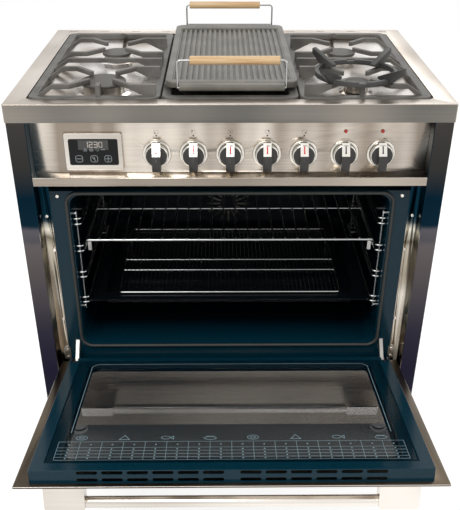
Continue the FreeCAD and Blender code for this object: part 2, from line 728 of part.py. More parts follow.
def grate_frame(x0, x1):
    y0, y1 = HOB_FRONT_Y + GRATE_EDGE, HOB_BACK_Y - GRATE_EDGE
    low, top = TRAY_Z + SLIP, WORKTOP_Z + GRATE_RISE
    outer = rounded_z(x0, x1, y0, y1, GRATE_R, low, top)
    inner = rounded_z(x0 + GRATE_BAR, x1 - GRATE_BAR, y0 + GRATE_BAR, y1 - GRATE_BAR, GRATE_R / 2, low, top)
    frame = outer.cut(inner)
    return frame.makeFillet(GRATE_EDGE_R, [e for e in frame.Edges if e.BoundBox.ZMin > top - 0.01])


def strap(profile, y):
    """A cast finger, given its X-Z outline, centred on y."""
    return plate([(x, y - FINGER_W / 2, z) for x, z in profile], FINGER_W, (0, 1, 0))


def diagonal(start, end, z0, z1):
    """A bar between two plan points with a round end."""
    start, end = Vector(start[0], start[1], z0), Vector(end[0], end[1], z0)
    along = end - start
    bar = box(0, along.Length, -FINGER_W / 2, FINGER_W / 2, 0, z1 - z0)
    bar.rotate(Vector(), Vector(0, 0, 1), math.degrees(math.atan2(along.y, along.x)))
    bar.translate(start)
    height = Vector(0, 0, z1 - z0)
    return fuse([bar, cylinder(start, start + height, FINGER_W / 2), cylinder(end, end + height, FINGER_W / 2)])


def grate_left():
    x0, x1 = -HOB_HALF_W + GRATE_EDGE, -CENTRE_GRATE_HALF - GRATE_GAP
    y0, y1 = HOB_FRONT_Y + GRATE_EDGE, HOB_BACK_Y - GRATE_EDGE
    frame_top, low = WORKTOP_Z + GRATE_RISE, FINGER_Z - FINGER_T
    outer, inner = x0 + GRATE_BAR, x1 - GRATE_BAR
    foot = TRAY_Z + WEB_FOOT
    pieces = [grate_frame(x0, x1)]

    def outer_strap(y, end):
        pieces.append(strap([(outer - FINGER_W, frame_top - FINGER_T), (outer - FINGER_W, frame_top),
                             (outer, frame_top), (outer + FINGER_RAMP, FINGER_Z), (end, FINGER_Z), (end, low),
                             (outer + FINGER_RAMP, low), (outer, frame_top - FINGER_T)], y))

    def inner_strap(y, end):
        pieces.append(strap([(end, low), (end, FINGER_Z), (inner + FINGER_W, FINGER_Z), (inner + FINGER_W, foot),
                             (inner, foot), (inner - WEB_L, low)], y))

    for bx, by, head_d, cap_d, head_h in BURNERS[:2]:
        for side in (-1, 1):
            y = by + side * FINGER_BEND
            outer_strap(y, bx - FINGER_BEND)
            inner_strap(y, bx + FINGER_BEND)
            for way in (-1, 1):
                pieces.append(diagonal((bx + way * FINGER_BEND, y),
                                       (bx + way * FINGER_TIP, by + side * FINGER_TIP), low, FINGER_Z))
    outer_strap(CROSS_BAR_Y, -BURNER_X)
    inner_strap(CROSS_BAR_Y, -BURNER_X)
    front, rear = y0 + GRATE_BAR, y1 - GRATE_BAR
    side_x = -STUB_X - FINGER_W / 2
    pieces.append(box(side_x, side_x + FINGER_W, front - GRATE_BAR / 2, front + STUB_L, frame_top - 1, FINGER_Z))
    pieces.append(plate([(side_x, rear + FINGER_W, frame_top - FINGER_T), (side_x, rear + FINGER_W, frame_top),
                         (side_x, rear, frame_top), (side_x, rear - BACK_STUB_L, frame_top + BACK_STUB_RISE),
                         (side_x, rear - BACK_STUB_L, frame_top + BACK_STUB_RISE - FINGER_T),
                         (side_x, rear, frame_top - FINGER_T)], FINGER_W, (1, 0, 0)))
    return fuse(pieces)


def grate_centre():
    """Low grate that carries the griddle over the middle burner."""
    half = CENTRE_GRATE_HALF
    top = WORKTOP_Z + LOW_TOP
    frame_top = WORKTOP_Z + GRATE_RISE
    pieces = [grate_frame(-half, half)]
    for y in LOW_BARS:
        y0, y1 = y - FINGER_W / 2, y + FINGER_W / 2
        pieces.append(box(-half + GRATE_EDGE_R, half - GRATE_EDGE_R, y0, y1, top - LOW_BAR_T, top))
        for side in (-1, 1):
            x0, x1 = sorted((side * (half - GRATE_BAR), side * (half - GRATE_EDGE_R)))
            pieces.append(box(x0, x1, y0, y1, frame_top - GRATE_EDGE_R, top))
    return fuse(pieces)


def wok_ring():
    z = FINGER_Z + SLIP
    centre = Vector(WOK_X, WOK_Y, z)
    ring = Part.makeCylinder(WOK_RING_R, WOK_RING_H, centre)
    ring = ring.cut(Part.makeCylinder(WOK_RING_R - WOK_RING_W, WOK_RING_H, centre))
    top = z + WOK_RING_H
    ring = cut(ring, [box(WOK_X - WOK_NOTCH_W / 2, WOK_X + WOK_NOTCH_W / 2, WOK_Y - WOK_RING_R,
                          WOK_Y + WOK_RING_R, top - WOK_NOTCH_H, top)])
    pieces = [ring]
    for i in range(4):
        arm = plate([(WOK_ARM_IN, -WOK_ARM_W / 2, top - WOK_ARM_NOSE), (WOK_ARM_IN, -WOK_ARM_W / 2, top),
                     (WOK_ARM_OUT, -WOK_ARM_W / 2, top + WOK_ARM_RISE),
                     (WOK_ARM_OUT, -WOK_ARM_W / 2, top + WOK_ARM_RISE - WOK_ARM_T),
                     (WOK_RING_R, -WOK_ARM_W / 2, z), (WOK_RING_R - WOK_RING_W, -WOK_ARM_W / 2, z)],
                    WOK_ARM_W, (0, 1, 0))
        arm.rotate(Vector(), Vector(0, 0, 1), 45 + 90 * i)
        arm.translate(Vector(WOK_X, WOK_Y, 0))
        pieces.append(arm)
    return fuse(pieces)


def griddle():
    """Cast plate with a ribbed field and a rounded lip at each end for the bails."""
    x0, x1 = GRIDDLE_X - GRIDDLE_W / 2, GRIDDLE_X + GRIDDLE_W / 2
    y0, y1 = GRIDDLE_Y - GRIDDLE_L / 2, GRIDDLE_Y + GRIDDLE_L / 2
    slab = rounded_z(x0, x1, y0, y1, GRATE_R, GRIDDLE_Z - GRIDDLE_T, GRIDDLE_Z)
    slab = slab.makeFillet(GRATE_EDGE_R, [e for e in slab.Edges if e.BoundBox.ZMin > GRIDDLE_Z - 0.01])
    field_x = GRIDDLE_X - GRIDDLE_FIELD_W / 2
    field_y0, field_y1 = y0 + GROOVE_FRONT, y1 - GROOVE_REAR
    floor = GRIDDLE_Z - GRIDDLE_FIELD_DROP
    cuts = [box(field_x, field_x + GRIDDLE_FIELD_W, field_y0, field_y1, floor, GRIDDLE_Z)]
    pitch = GRIDDLE_FIELD_W / GROOVE_COUNT
    for i in range(GROOVE_COUNT):
        x = field_x + pitch * (i + 0.5)
        cuts.append(rounded_z(x - GROOVE_W / 2, x + GROOVE_W / 2, field_y0, field_y1, GROOVE_W / 2.1,
                              floor - GROOVE_DEPTH, GRIDDLE_Z))
    pieces = [cut(slab, cuts)]
    for end_y, pivot_y, out in ((y0, BAIL_FRONT_Y, -1), (y1, BAIL_REAR_Y, 1)):
        face = end_y + out * LIP_OUT
        lip_y0, lip_y1 = sorted((face, face - out * LIP_D))
        lip = box(GRIDDLE_X - LIP_W / 2, GRIDDLE_X + LIP_W / 2, lip_y0, lip_y1,
                  GRIDDLE_Z - LIP_SINK, GRIDDLE_Z - LIP_SINK + LIP_H)
        lip = soften(lip, LIP_R, lambda m, d: abs(d.x) > 0.99 and abs(m.y - face) < 0.01)
        for side in (-1, 1):
            end = GRIDDLE_X + side * LIP_W / 2
            inner = end - side * (BAIL_PIN + FIT)
            hole = cylinder((inner, pivot_y, BAIL_Z), (end, pivot_y, BAIL_Z), BAIL_WIRE / 2 + SHAFT_GAP)
            lip = lip.cut(hole)
        pieces.append(lip)
    return fuse(pieces)


def bail(pivot_y):
    """Wire bail standing up, with its two ends turned into the griddle's lip."""
    leg_out = LIP_W / 2 + BAIL_LEG_GAP + BAIL_WIRE / 2
    top = BAIL_Z + BAIL_H
    x0, x1 = GRIDDLE_X - leg_out, GRIDDLE_X + leg_out
    pieces = [rod([(x0, pivot_y, BAIL_Z), (x0, pivot_y, top), (x1, pivot_y, top), (x1, pivot_y, BAIL_Z)],
                  BAIL_WIRE / 2, BAIL_R)]
    for x, side in ((x0, 1), (x1, -1)):
        inner = GRIDDLE_X - side * (LIP_W / 2 - BAIL_PIN)
        pieces.append(cylinder((x, pivot_y, BAIL_Z), (inner, pivot_y, BAIL_Z), BAIL_WIRE / 2))
        pieces.append(Part.makeSphere(BAIL_WIRE / 2, Vector(x, pivot_y, BAIL_Z)))
    return fuse(pieces)


def grip(pivot_y, shift):
    z = BAIL_Z + BAIL_H
    x0, x1 = GRIDDLE_X + shift - GRIP_L / 2, GRIDDLE_X + shift + GRIP_L / 2
    body = cylinder((x0, pivot_y, z), (x1, pivot_y, z), GRIP_D / 2)
    body = body.makeFillet(GRIP_EDGE, [e for e in body.Edges if isinstance(e.Curve, Part.Circle)])
    return body.cut(cylinder((x0, pivot_y, z), (x1, pivot_y, z), BAIL_WIRE / 2 + GRIP_GAP))


# ---------------------------------------------------------------- controls
def fascia():
    """One folded sheet: face, ledge, lip and the return under the lip."""
    half = COLUMN_IN - FIT
    lip_y = FRONT_Y + LIP_SETBACK
    lip_low = FASCIA_BOTTOM - LIP_FACE_H
    sheet = fuse([
        box(-half, half, FASCIA_Y, FASCIA_Y + SHEET, FASCIA_BOTTOM - SHEET, FASCIA_TOP),
        box(-half, half, lip_y, FASCIA_Y + SHEET, FASCIA_BOTTOM - SHEET, FASCIA_BOTTOM),
        box(-half, half, lip_y, lip_y + SHEET, lip_low, FASCIA_BOTTOM),
        box(-half, half, lip_y, lip_y + LIP_RETURN, lip_low, lip_low + SHEET)])
    sheet = soften(sheet, FOLD_R, lambda m, d: abs(d.x) > 0.99 and m.y < lip_y + 0.01)
    back = FASCIA_Y + SHEET
    holes = [cylinder((x, FASCIA_Y, KNOB_Z), (x, back, KNOB_Z), SPINDLE_HOLE_R) for x in GAS_KNOB_X + OVEN_KNOB_X]
    holes += [cylinder((x, FASCIA_Y, LAMP_Z), (x, back, LAMP_Z), LAMP_R + SHAFT_GAP) for x in OVEN_KNOB_X]
    w, h = CLOCK_W / 2 - CLOCK_BEZEL, CLOCK_H / 2 - CLOCK_BEZEL
    holes.append(box(CLOCK_X - w - FIT, CLOCK_X + w + FIT, FASCIA_Y, back, CLOCK_Z - h - FIT, CLOCK_Z + h + FIT))
    return cut(sheet, holes)


def knob(x, spindle_end):
    """Turning knob with its spindle: round skirt, grip bar with a pointer groove, flat on the spindle."""
    back = FASCIA_Y - KNOB_STANDOFF
    face = back - KNOB_SKIRT_T
    crest = face - GRIP_OUT
    skirt = cylinder((x, back, KNOB_Z), (x, face, KNOB_Z), KNOB_R)
    skirt = skirt.makeFillet(KNOB_EDGE, [e for e in skirt.Edges if e.BoundBox.YMax < face + 0.01])
    grip_x = x - GRIP_W / 2
    bar = plate([(grip_x, face + KNOB_EDGE, KNOB_Z + GRIP_TOP), (grip_x, face, KNOB_Z + GRIP_TOP),
                 (grip_x, crest, KNOB_Z + GRIP_SHOULDER - GRIP_TOP),
                 (grip_x, crest + GRIP_OUT - GRIP_HEEL, KNOB_Z - GRIP_TAIL),
                 (grip_x, face + TAIL_BACK, KNOB_Z - GRIP_TAIL),
                 (grip_x, face + TAIL_BACK, KNOB_Z - KNOB_R + KNOB_EDGE),
                 (grip_x, face + KNOB_EDGE, KNOB_Z - KNOB_R + KNOB_EDGE)], GRIP_W, (1, 0, 0))
    groove = plate([(x - POINTER_W / 2, face - POINTER_DEPTH, KNOB_Z + GRIP_TOP),
                    (x - POINTER_W / 2, crest - POINTER_DEPTH, KNOB_Z + GRIP_SHOULDER - GRIP_TOP),
                    (x - POINTER_W / 2, crest + POINTER_DEPTH, KNOB_Z + GRIP_SHOULDER - GRIP_TOP),
                    (x - POINTER_W / 2, face + POINTER_DEPTH, KNOB_Z + GRIP_TOP)], POINTER_W, (1, 0, 0))
    spindle = spindle_bar(x, back - SPINDLE_IN, spindle_end, 0.0)
    return fuse([skirt, bar.cut(groove), spindle])


def spindle_bar(x, y0, y1, clearance):
    """Round spindle with a flat on top; with a clearance it is the hole for one."""
    radius = SPINDLE_R + clearance
    flat = SPINDLE_FLAT + clearance
    return cylinder((x, y0, KNOB_Z), (x, y1, KNOB_Z), radius).cut(
        box(x - 2 * radius, x + 2 * radius, y0, y1, KNOB_Z + flat, KNOB_Z + 2 * radius))


def knob_ring(x):
    ring = cylinder((x, FASCIA_Y, KNOB_Z), (x, FASCIA_Y - RING_T, KNOB_Z), RING_R)
    ring = ring.makeFillet(KNOB_EDGE, [e for e in ring.Edges if e.BoundBox.YMax < FASCIA_Y - RING_T + 0.01])
    return ring.cut(cylinder((x, FASCIA_Y, KNOB_Z), (x, FASCIA_Y - RING_T, KNOB_Z), RING_HOLE_R))


def gas_tap(x):
    neck_y = FASCIA_Y + SHEET + SLEEVE_SET
    body = fuse([
        box(x - TAP_W / 2, x + TAP_W / 2, TAP_Y, TAP_Y + TAP_L, KNOB_Z - TAP_H / 2, KNOB_Z + TAP_H / 2),
        cylinder((x, neck_y, KNOB_Z), (x, TAP_Y, KNOB_Z), TAP_NECK_R)])
    bore = cylinder((x, neck_y, KNOB_Z), (x, neck_y + SLEEVE_L + SLIP, KNOB_Z), SLEEVE_R + SHAFT_GAP)
    return body.cut(bore)


def tap_spindle(x):
    """Turning sleeve in a tap; the knob's own spindle slides in it and turns it."""
    start = FASCIA_Y + SHEET + SLEEVE_SET
    sleeve = cylinder((x, start, KNOB_Z), (x, start + SLEEVE_L, KNOB_Z), SLEEVE_R)
    return sleeve.cut(spindle_bar(x, start, start + SLEEVE_L, SHAFT_GAP))


def oven_switch(x):
    start = FASCIA_Y + SHEET
    body = cylinder((x, start, KNOB_Z), (x, start + SWITCH_L, KNOB_Z), SWITCH_R)
    return body.cut(cylinder((x, start, KNOB_Z), (x, start + SWITCH_BORE + SLIP, KNOB_Z), SPINDLE_R + SHAFT_GAP))


def gas_manifold():
    """Rail under the taps, a pipe to each burner and the supply pipe to the back."""
    rail_y0 = TAP_Y + (TAP_L - RAIL_W) / 2
    middle_y = rail_y0 + RAIL_W / 2
    end_x = GAS_KNOB_X[-1] + TAP_W / 2 + RAIL_END
    rail_top = KNOB_Z - TAP_H / 2
    pieces = [box(-end_x, end_x, rail_y0, rail_y0 + RAIL_W, rail_top - RAIL_W, rail_top)]
    for x in (-end_x, end_x - RAIL_W):
        pieces.append(box(x, x + RAIL_W, rail_y0, rail_y0 + RAIL_W, FASCIA_BOTTOM - SHEET, rail_top - RAIL_W))
        pieces.append(box(x, x + RAIL_W, FASCIA_Y + SHEET, rail_y0 + RAIL_W, FASCIA_BOTTOM - SHEET, FASCIA_BOTTOM))
    pipe_x = end_x - RAIL_W / 2
    out = BODY_BACK_Y + INLET_OUT
    pieces.append(rod([(pipe_x, middle_y, RAIL_Z), (pipe_x, INLET_BEND_Y, RAIL_Z), (INLET_X, INLET_BEND_Y, RAIL_Z),
                       (INLET_X, BODY_BACK_Y + INLET_OUT / 2, RAIL_Z)], SUPPLY_R, SUPPLY_BEND))
    pieces.append(cylinder((INLET_X, BODY_BACK_Y - SHEET - FIT - INLET_NUT_L, RAIL_Z),
                           (INLET_X, BODY_BACK_Y - SHEET - FIT, RAIL_Z), INLET_NUT_R))
    pieces.append(cylinder((INLET_X, BODY_BACK_Y, RAIL_Z), (INLET_X, out, RAIL_Z), INLET_R))
    solids = [fuse(pieces)]
    cup_low = DOME_Z - CUP_DROP
    for tap_x, burner in zip(GAS_KNOB_X, BURNERS):
        x, y = burner[:2]
        points = [(tap_x, TAP_Y + TAP_L, KNOB_Z), (tap_x, y, KNOB_Z), (tap_x, y, cup_low)]
        if abs(x - tap_x) > 1:
            points[-1:] = [(tap_x, y, cup_low - PIPE_RISE), (x, y, cup_low - PIPE_RISE), (x, y, cup_low)]
        solids.append(rod(points, PIPE_R, PIPE_BEND))
    return solids


def clock_housing():
    """Bezel in front of the fascia with the clock's box behind it."""
    half_w, half_h = CLOCK_W / 2, CLOCK_H / 2
    front = FASCIA_Y - CLOCK_PROUD
    bezel = rounded(CLOCK_X - half_w, CLOCK_X + half_w, CLOCK_Z - half_h, CLOCK_Z + half_h, CLOCK_R, front, FASCIA_Y)
    bezel = bezel.makeFillet(KNOB_EDGE, [e for e in bezel.Edges if e.BoundBox.YMax < front + 0.01])
    w, h = half_w - CLOCK_BEZEL, half_h - CLOCK_BEZEL
    body = box(CLOCK_X - w, CLOCK_X + w, FASCIA_Y, FASCIA_Y + CLOCK_BODY_D, CLOCK_Z - h, CLOCK_Z + h)
    gw, gh = CLOCK_GLASS_W / 2 + FIT, CLOCK_GLASS_H / 2 + FIT
    pocket = rounded(CLOCK_X - gw, CLOCK_X + gw, CLOCK_Z - gh, CLOCK_Z + gh, CLOCK_R,
                     front, front + CLOCK_GLASS_T + CLOCK_GLASS_SINK)
    return fuse([bezel, body]).cut(pocket)


def clock_glass():
    gw, gh = CLOCK_GLASS_W / 2, CLOCK_GLASS_H / 2
    front = FASCIA_Y - CLOCK_PROUD + CLOCK_GLASS_SINK
    return rounded(CLOCK_X - gw, CLOCK_X + gw, CLOCK_Z - gh, CLOCK_Z + gh, CLOCK_R, front, front + CLOCK_GLASS_T)


def pilot_lamp(x):
    lens = cylinder((x, FASCIA_Y - LAMP_PROUD, LAMP_Z), (x, FASCIA_Y - LAMP_PROUD + LAMP_L, LAMP_Z), LAMP_R)
    return lens.makeFillet(LAMP_PROUD / 2, [e for e in lens.Edges if e.BoundBox.YMax < FASCIA_Y - LAMP_PROUD + 0.01])


# ---------------------------------------------------------------- oven
def oven_cavity():
    """Muffle with its enamelled front frame."""
    t = ENAMEL_SHEET
    inside = rounded(-CAVITY_HALF_W, CAVITY_HALF_W, CAVITY_BOTTOM, CAVITY_TOP, CAVITY_R, FRAME_Y, CAVITY_BACK_Y)
    shell = rounded(-CAVITY_HALF_W - t, CAVITY_HALF_W + t, CAVITY_BOTTOM - t, CAVITY_TOP + t, CAVITY_R + t,
                    FRAME_Y, CAVITY_BACK_Y + t)
    half = FLANGE_IN - FIT
    front = fuse([
        box(-half, half, FRAME_Y, FRAME_Y + t, FRAME_BOTTOM, FRAME_TOP),
        box(-half, half, FRAME_Y, FRAME_Y + FRAME_LIP, FRAME_BOTTOM, FRAME_BOTTOM + t),
        box(-half, half, FRAME_Y, FRAME_Y + FRAME_LIP, FRAME_TOP - t, FRAME_TOP)])
    holes = [inside]
    for side in (-1, 1):
        x = side * HINGE_X
        holes.append(box(x - ARM_W / 2 - ARM_SLOT_GAP, x + ARM_W / 2 + ARM_SLOT_GAP, FRAME_Y, FRAME_Y + t,
                         ARM_LOW - ARM_SLOT_GAP, ARM_TOP + ARM_SLOT_GAP))
    for x, z in FRAME_SCREWS + BRACKET_SCREWS:
        holes += [screw_hole(x, FRAME_Y, z), screw_hole(-x, FRAME_Y, z)]
    back = CAVITY_BACK_Y + t
    holes.append(cylinder((0, CAVITY_BACK_Y, FAN_Z), (0, back, FAN_Z), FAN_SHAFT_R + 2 * FIT))
    for x, z in GRILL_ENDS + RING_ENDS:
        holes.append(cylinder((x, CAVITY_BACK_Y, z), (x, back, z), ELEMENT_R + SHAFT_GAP))
    return cut(fuse([shell, front]), holes)


def gasket():
    x, low, high = CAVITY_HALF_W + GASKET_INSET, CAVITY_BOTTOM - GASKET_INSET, CAVITY_TOP + GASKET_INSET
    y = FRAME_Y - GASKET_R - SHAFT_GAP
    return rod([(-x, y, low), (x, y, low), (x, y, high), (-x, y, high)], GASKET_R, CAVITY_R, closed=True)


def fan_cover():
    """Shallow pan over the fan with radial inlet slots and outlets down both sides."""
    x, low, high = FAN_COVER_W / 2, FAN_Z - FAN_COVER_H / 2, FAN_Z + FAN_COVER_H / 2
    y, t = CAVITY_BACK_Y - FAN_COVER_D, ENAMEL_SHEET
    pan = rounded(-x, x, low, high, CLOCK_R, y, CAVITY_BACK_Y)
    cuts = [rounded(-x + t, x - t, low + t, high - t, CLOCK_R - t, y + t, CAVITY_BACK_Y)]
    for i in range(FAN_COVER_SLOTS):
        slot = box(-FAN_SLOT_W / 2, FAN_SLOT_W / 2, y, y + t, FAN_SLOT_IN, FAN_SLOT_OUT)
        slot.rotate(Vector(), Vector(0, 1, 0), 360.0 * i / FAN_COVER_SLOTS)
        slot.translate(Vector(0, 0, FAN_Z))
        cuts.append(slot)
    pitch = FAN_COVER_H / (FAN_SIDE_SLOTS + 1)
    for i in range(FAN_SIDE_SLOTS):
        z = low + pitch * (i + 1)
        cuts.append(box(-x, x, CAVITY_BACK_Y - FAN_COVER_D * 0.7, CAVITY_BACK_Y - FAN_COVER_D * 0.3,
                        z - pitch / 3, z + pitch / 3))
    return cut(pan, cuts)


def convection_fan():
    middle = CAVITY_BACK_Y - FAN_COVER_D / 2
    y0, y1 = middle - FAN_D / 2, middle + FAN_D / 2
    pieces = [cylinder((0, y1 - ENAMEL_SHEET, FAN_Z), (0, y1, FAN_Z), FAN_R),
              cylinder((0, y0, FAN_Z), (0, y1, FAN_Z), FAN_HUB_R),
              cylinder((0, y0, FAN_Z), (0, CAVITY_BACK_Y + ENAMEL_SHEET + SHAFT_IN, FAN_Z), FAN_SHAFT_R)]
    for i in range(FAN_BLADES):
        blade = box(-ENAMEL_SHEET / 2, ENAMEL_SHEET / 2, y0, y1, FAN_R * 0.45, FAN_R - 1)
        blade.rotate(Vector(0, 0, FAN_R * 0.7), Vector(0, 1, 0), 20)
        blade.rotate(Vector(), Vector(0, 1, 0), 360.0 * i / FAN_BLADES)
        blade.translate(Vector(0, 0, FAN_Z))
        pieces.append(blade)
    return fuse(pieces)


def fan_motor():
    y = CAVITY_BACK_Y + ENAMEL_SHEET
    body = cylinder((0, y, FAN_Z), (0, y + MOTOR_L, FAN_Z), MOTOR_R)
    return body.cut(cylinder((0, y, FAN_Z), (0, y + SHAFT_IN + SLIP, FAN_Z), FAN_SHAFT_R + SHAFT_GAP))


def heating_elements():
    """Ring around the fan, grill under the roof, bottom element under the floor."""
    outside = CAVITY_BACK_Y + ENAMEL_SHEET + ELEMENT_TAIL
    y = CAVITY_BACK_Y - FAN_COVER_D / 2
    ring = Part.makeTorus(RING_ELEMENT_R, ELEMENT_R, Vector(0, y, FAN_Z), Vector(0, 1, 0))
    gap = RING_TAIL_X - ELEMENT_R
    ring = ring.cut(box(-gap, gap, y - 2 * ELEMENT_R, y + 2 * ELEMENT_R, FAN_Z, FAN_Z + 2 * RING_ELEMENT_R))
    ring = fuse([ring] + [cylinder((x, y, z), (x, outside, z), TERMINAL_R) for x, z in RING_ENDS])
    front = FRAME_Y + GRILL_FRONT
    run = [(GRILL_TAIL_X, outside, GRILL_Z), (GRILL_TAIL_X, front + GRILL_STEP, GRILL_Z),
           (GRILL_HALF_W / 2, front + GRILL_STEP, GRILL_Z), (GRILL_HALF_W / 2, CAVITY_BACK_Y - GRILL_STEP, GRILL_Z),
           (GRILL_HALF_W, CAVITY_BACK_Y - GRILL_STEP, GRILL_Z), (GRILL_HALF_W, front, GRILL_Z)]
    grill = rod(run + [(-px, py, pz) for px, py, pz in reversed(run)], ELEMENT_R, GRILL_BEND)
    low = CAVITY_BOTTOM - ENAMEL_SHEET - SLIP - ELEMENT_R
    back = CAVITY_BACK_Y - GRILL_STEP
    bottom = rod([(GRILL_TAIL_X, outside, low), (GRILL_TAIL_X, back, low), (GRILL_HALF_W, back, low),
                  (GRILL_HALF_W, front, low), (-GRILL_HALF_W, front, low), (-GRILL_HALF_W, back, low),
                  (-GRILL_TAIL_X, back, low), (-GRILL_TAIL_X, outside, low)], ELEMENT_R, GRILL_BEND)
    return ring, grill, bottom


def oven_lamp():
    lens = cylinder((LAMP_POS_X, CAVITY_BACK_Y, LAMP_POS_Z),
                    (LAMP_POS_X, CAVITY_BACK_Y - LAMP_GLASS_H, LAMP_POS_Z), LAMP_GLASS_R)
    return lens.makeFillet(LAMP_GLASS_H / 2, [e for e in lens.Edges if e.BoundBox.YMax < CAVITY_BACK_Y - 1])


def shelf_ladder():
    """Welded wire ladder on the right-hand wall: two posts and four pairs of runner wires."""
    post_x, run_x = CAVITY_HALF_W - LADDER_POST_IN, CAVITY_HALF_W - LADDER_IN
    end_x = CAVITY_HALF_W - LADDER_END_IN
    front, back = FRAME_Y + LADDER_FRONT, FRAME_Y + LADDER_BACK
    high = LADDER_TOP + LADDER_PAIR / 2 + LADDER_TAIL
    low = LADDER_TOP - (LADDER_LEVELS - 1) * LADDER_PITCH - LADDER_PAIR / 2 - LADDER_TAIL
    reach = WIRE - RACK_WELD
    pieces = []
    for y in (front, back):
        pieces.append(cylinder((post_x, y, low), (post_x, y, high), WIRE / 2))
        for z in (low + WIRE, high - WIRE):
            pieces.append(cylinder((post_x, y, z), (CAVITY_HALF_W, y, z), LADDER_STUD_R))
    for level in range(LADDER_LEVELS):
        for side in (-1, 1):
            z = LADDER_TOP - level * LADDER_PITCH + side * LADDER_PAIR / 2
            pieces.append(rod([(end_x, front - reach, z), (run_x, front - reach, z), (run_x, back + reach, z),
                               (end_x, back + reach, z)], WIRE / 2, RUNNER_BEND))
    return fuse(pieces)


def runner_top(level):
    """Top of the lower wire of a pair."""
    return LADDER_TOP - level * LADDER_PITCH - LADDER_PAIR / 2 + WIRE / 2


def wire_rack():
    z = runner_top(RACK_LEVEL) + SLIP + RACK_FRONT_WIRE / 2
    y0 = FRAME_Y + RACK_FRONT
    y1 = y0 + RACK_DEPTH
    side_x = CAVITY_HALF_W - LADDER_IN
    rail_x = CAVITY_HALF_W - RACK_RAIL_IN
    pieces = [cylinder((-rail_x, y0, z), (rail_x, y0, z), RACK_FRONT_WIRE / 2)]
    pieces.append(rod([(-side_x, y0, z), (-side_x, y1, z), (side_x, y1, z), (side_x, y0, z)],
                      RACK_SIDE_WIRE / 2, RUNNER_BEND))
    deck_z = z + (RACK_FRONT_WIRE + RACK_DECK_WIRE) / 2 - RACK_WELD
    bar_z = deck_z - (RACK_DECK_WIRE + RACK_BAR_WIRE) / 2 + RACK_WELD
    for offset in RACK_BARS:
        pieces.append(cylinder((-side_x, y0 + offset, bar_z), (side_x, y0 + offset, bar_z), RACK_BAR_WIRE / 2))
    count = int(2 * (side_x - WIRE) / RACK_DECK_PITCH)
    for i in range(count):
        x = RACK_DECK_PITCH * (i - (count - 1) / 2)
        pieces.append(cylinder((x, y0 - RACK_FRONT_WIRE / 2, deck_z), (x, y1, deck_z), RACK_DECK_WIRE / 2))
    stop_x = side_x - WIRE / 2 - FIT
    stop_top = z + RACK_FRONT_WIRE / 2
    for side in (-1, 1):
        x0, x1 = sorted((side * (stop_x - RACK_STOP_W), side * stop_x))
        pieces.append(box(x0, x1, y0 - RACK_STOP_T, y0, stop_top - RACK_STOP_H, stop_top))
    return fuse(pieces)


def baking_tray():
    """Deep tray whose flange slides on the lowest pair of wires but one."""
    half = CAVITY_HALF_W - RACK_RAIL_IN
    z = runner_top(TRAY_LEVEL) + SLIP
    y0 = FRAME_Y + PAN_FRONT
    y1 = y0 + PAN_DEPTH
    t = PAN_SHEET
    well = (-half + PAN_FLANGE, half - PAN_FLANGE, y0 + PAN_FLANGE, y1 - PAN_FLANGE)
    body = fuse([
        rounded_z(-half, half, y0, y1, PAN_R, z, z + t),
        rounded_z(-half, half, y0, y1, PAN_R, z, z + PAN_EDGE_H).cut(
            rounded_z(-half + t, half - t, y0 + t, y1 - t, PAN_R - t, z, z + PAN_EDGE_H)),
        rounded_z(*well, PAN_R, z - PAN_WELL_H, z + t)])
    x0, x1, ya, yb = well
    cuts = [rounded_z(x0 + t, x1 - t, ya + t, yb - t, PAN_R - t, z - PAN_WELL_H + t, z + t)]
    for i in range(PAN_HOLES):
        for side in (-1, 1):
            y = y0 + PAN_HOLE_START + PAN_HOLE_PITCH * i
            x = side * (half - PAN_HOLE_IN)
            cuts.append(cylinder((x, y, z), (x, y, z + t), PAN_HOLE_R))
    return cut(body, cuts)


def tray_grid():
    """Fine wire grid on legs in the tray."""
    half = GRID_W / 2
    floor = runner_top(TRAY_LEVEL) + SLIP - PAN_WELL_H + PAN_SHEET
    y0 = FRAME_Y + PAN_FRONT + PAN_FLANGE - GRID_OVER
    y1 = y0 + GRID_DEPTH
    z = runner_top(TRAY_LEVEL) + SLIP + PAN_SHEET + GRID_LIFT
    frame_r, wire_r = GRID_FRAME_WIRE / 2, GRID_WIRE / 2
    pieces = [rod([(-half, y0, z), (half, y0, z), (half, y1, z), (-half, y1, z)], frame_r, RUNNER_BEND, closed=True)]
    for offset in GRID_BARS:
        pieces.append(cylinder((-half, y0 + offset, z), (half, y0 + offset, z), GRID_BAR_WIRE / 2))
    count = int((GRID_W - 2 * RUNNER_BEND) / GRID_PITCH)
    for i in range(count + 1):
        x = GRID_PITCH * (i - count / 2)
        pieces.append(cylinder((x, y0, z + wire_r), (x, y1, z + wire_r), wire_r))
    for x in (-half, half):
        for offset in GRID_LEGS:
            pieces.append(cylinder((x, y0 + offset, floor), (x, y0 + offset, z), GRID_LEG_WIRE / 2))
    return fuse(pieces)


# ---------------------------------------------------------------- oven door, built closed
def door_outer_panel():
    y0, y1 = PANEL_Y - PANEL_T, PANEL_Y
    panel = rounded(-DOOR_HALF_W, DOOR_HALF_W, DOOR_BOTTOM, DOOR_TOP, FOLD_R, y0, y1)
    panel = panel.makeFillet(PANEL_EDGE_R, [e for e in panel.Edges if e.BoundBox.YMax < y0 + 0.01])
    pocket = box(-DOOR_HALF_W + PANEL_FLANGE, DOOR_HALF_W - PANEL_FLANGE, y0 + PANEL_SHEET, y1,
                 DOOR_BOTTOM + PANEL_FLANGE, DOOR_TOP - PANEL_FLANGE)
    window = rounded(-WINDOW_HALF_W, WINDOW_HALF_W, HINGE_Z + WINDOW_LOW, HINGE_Z + WINDOW_HIGH, WINDOW_R, y0, y1)
    return cut(panel, [pocket, window])


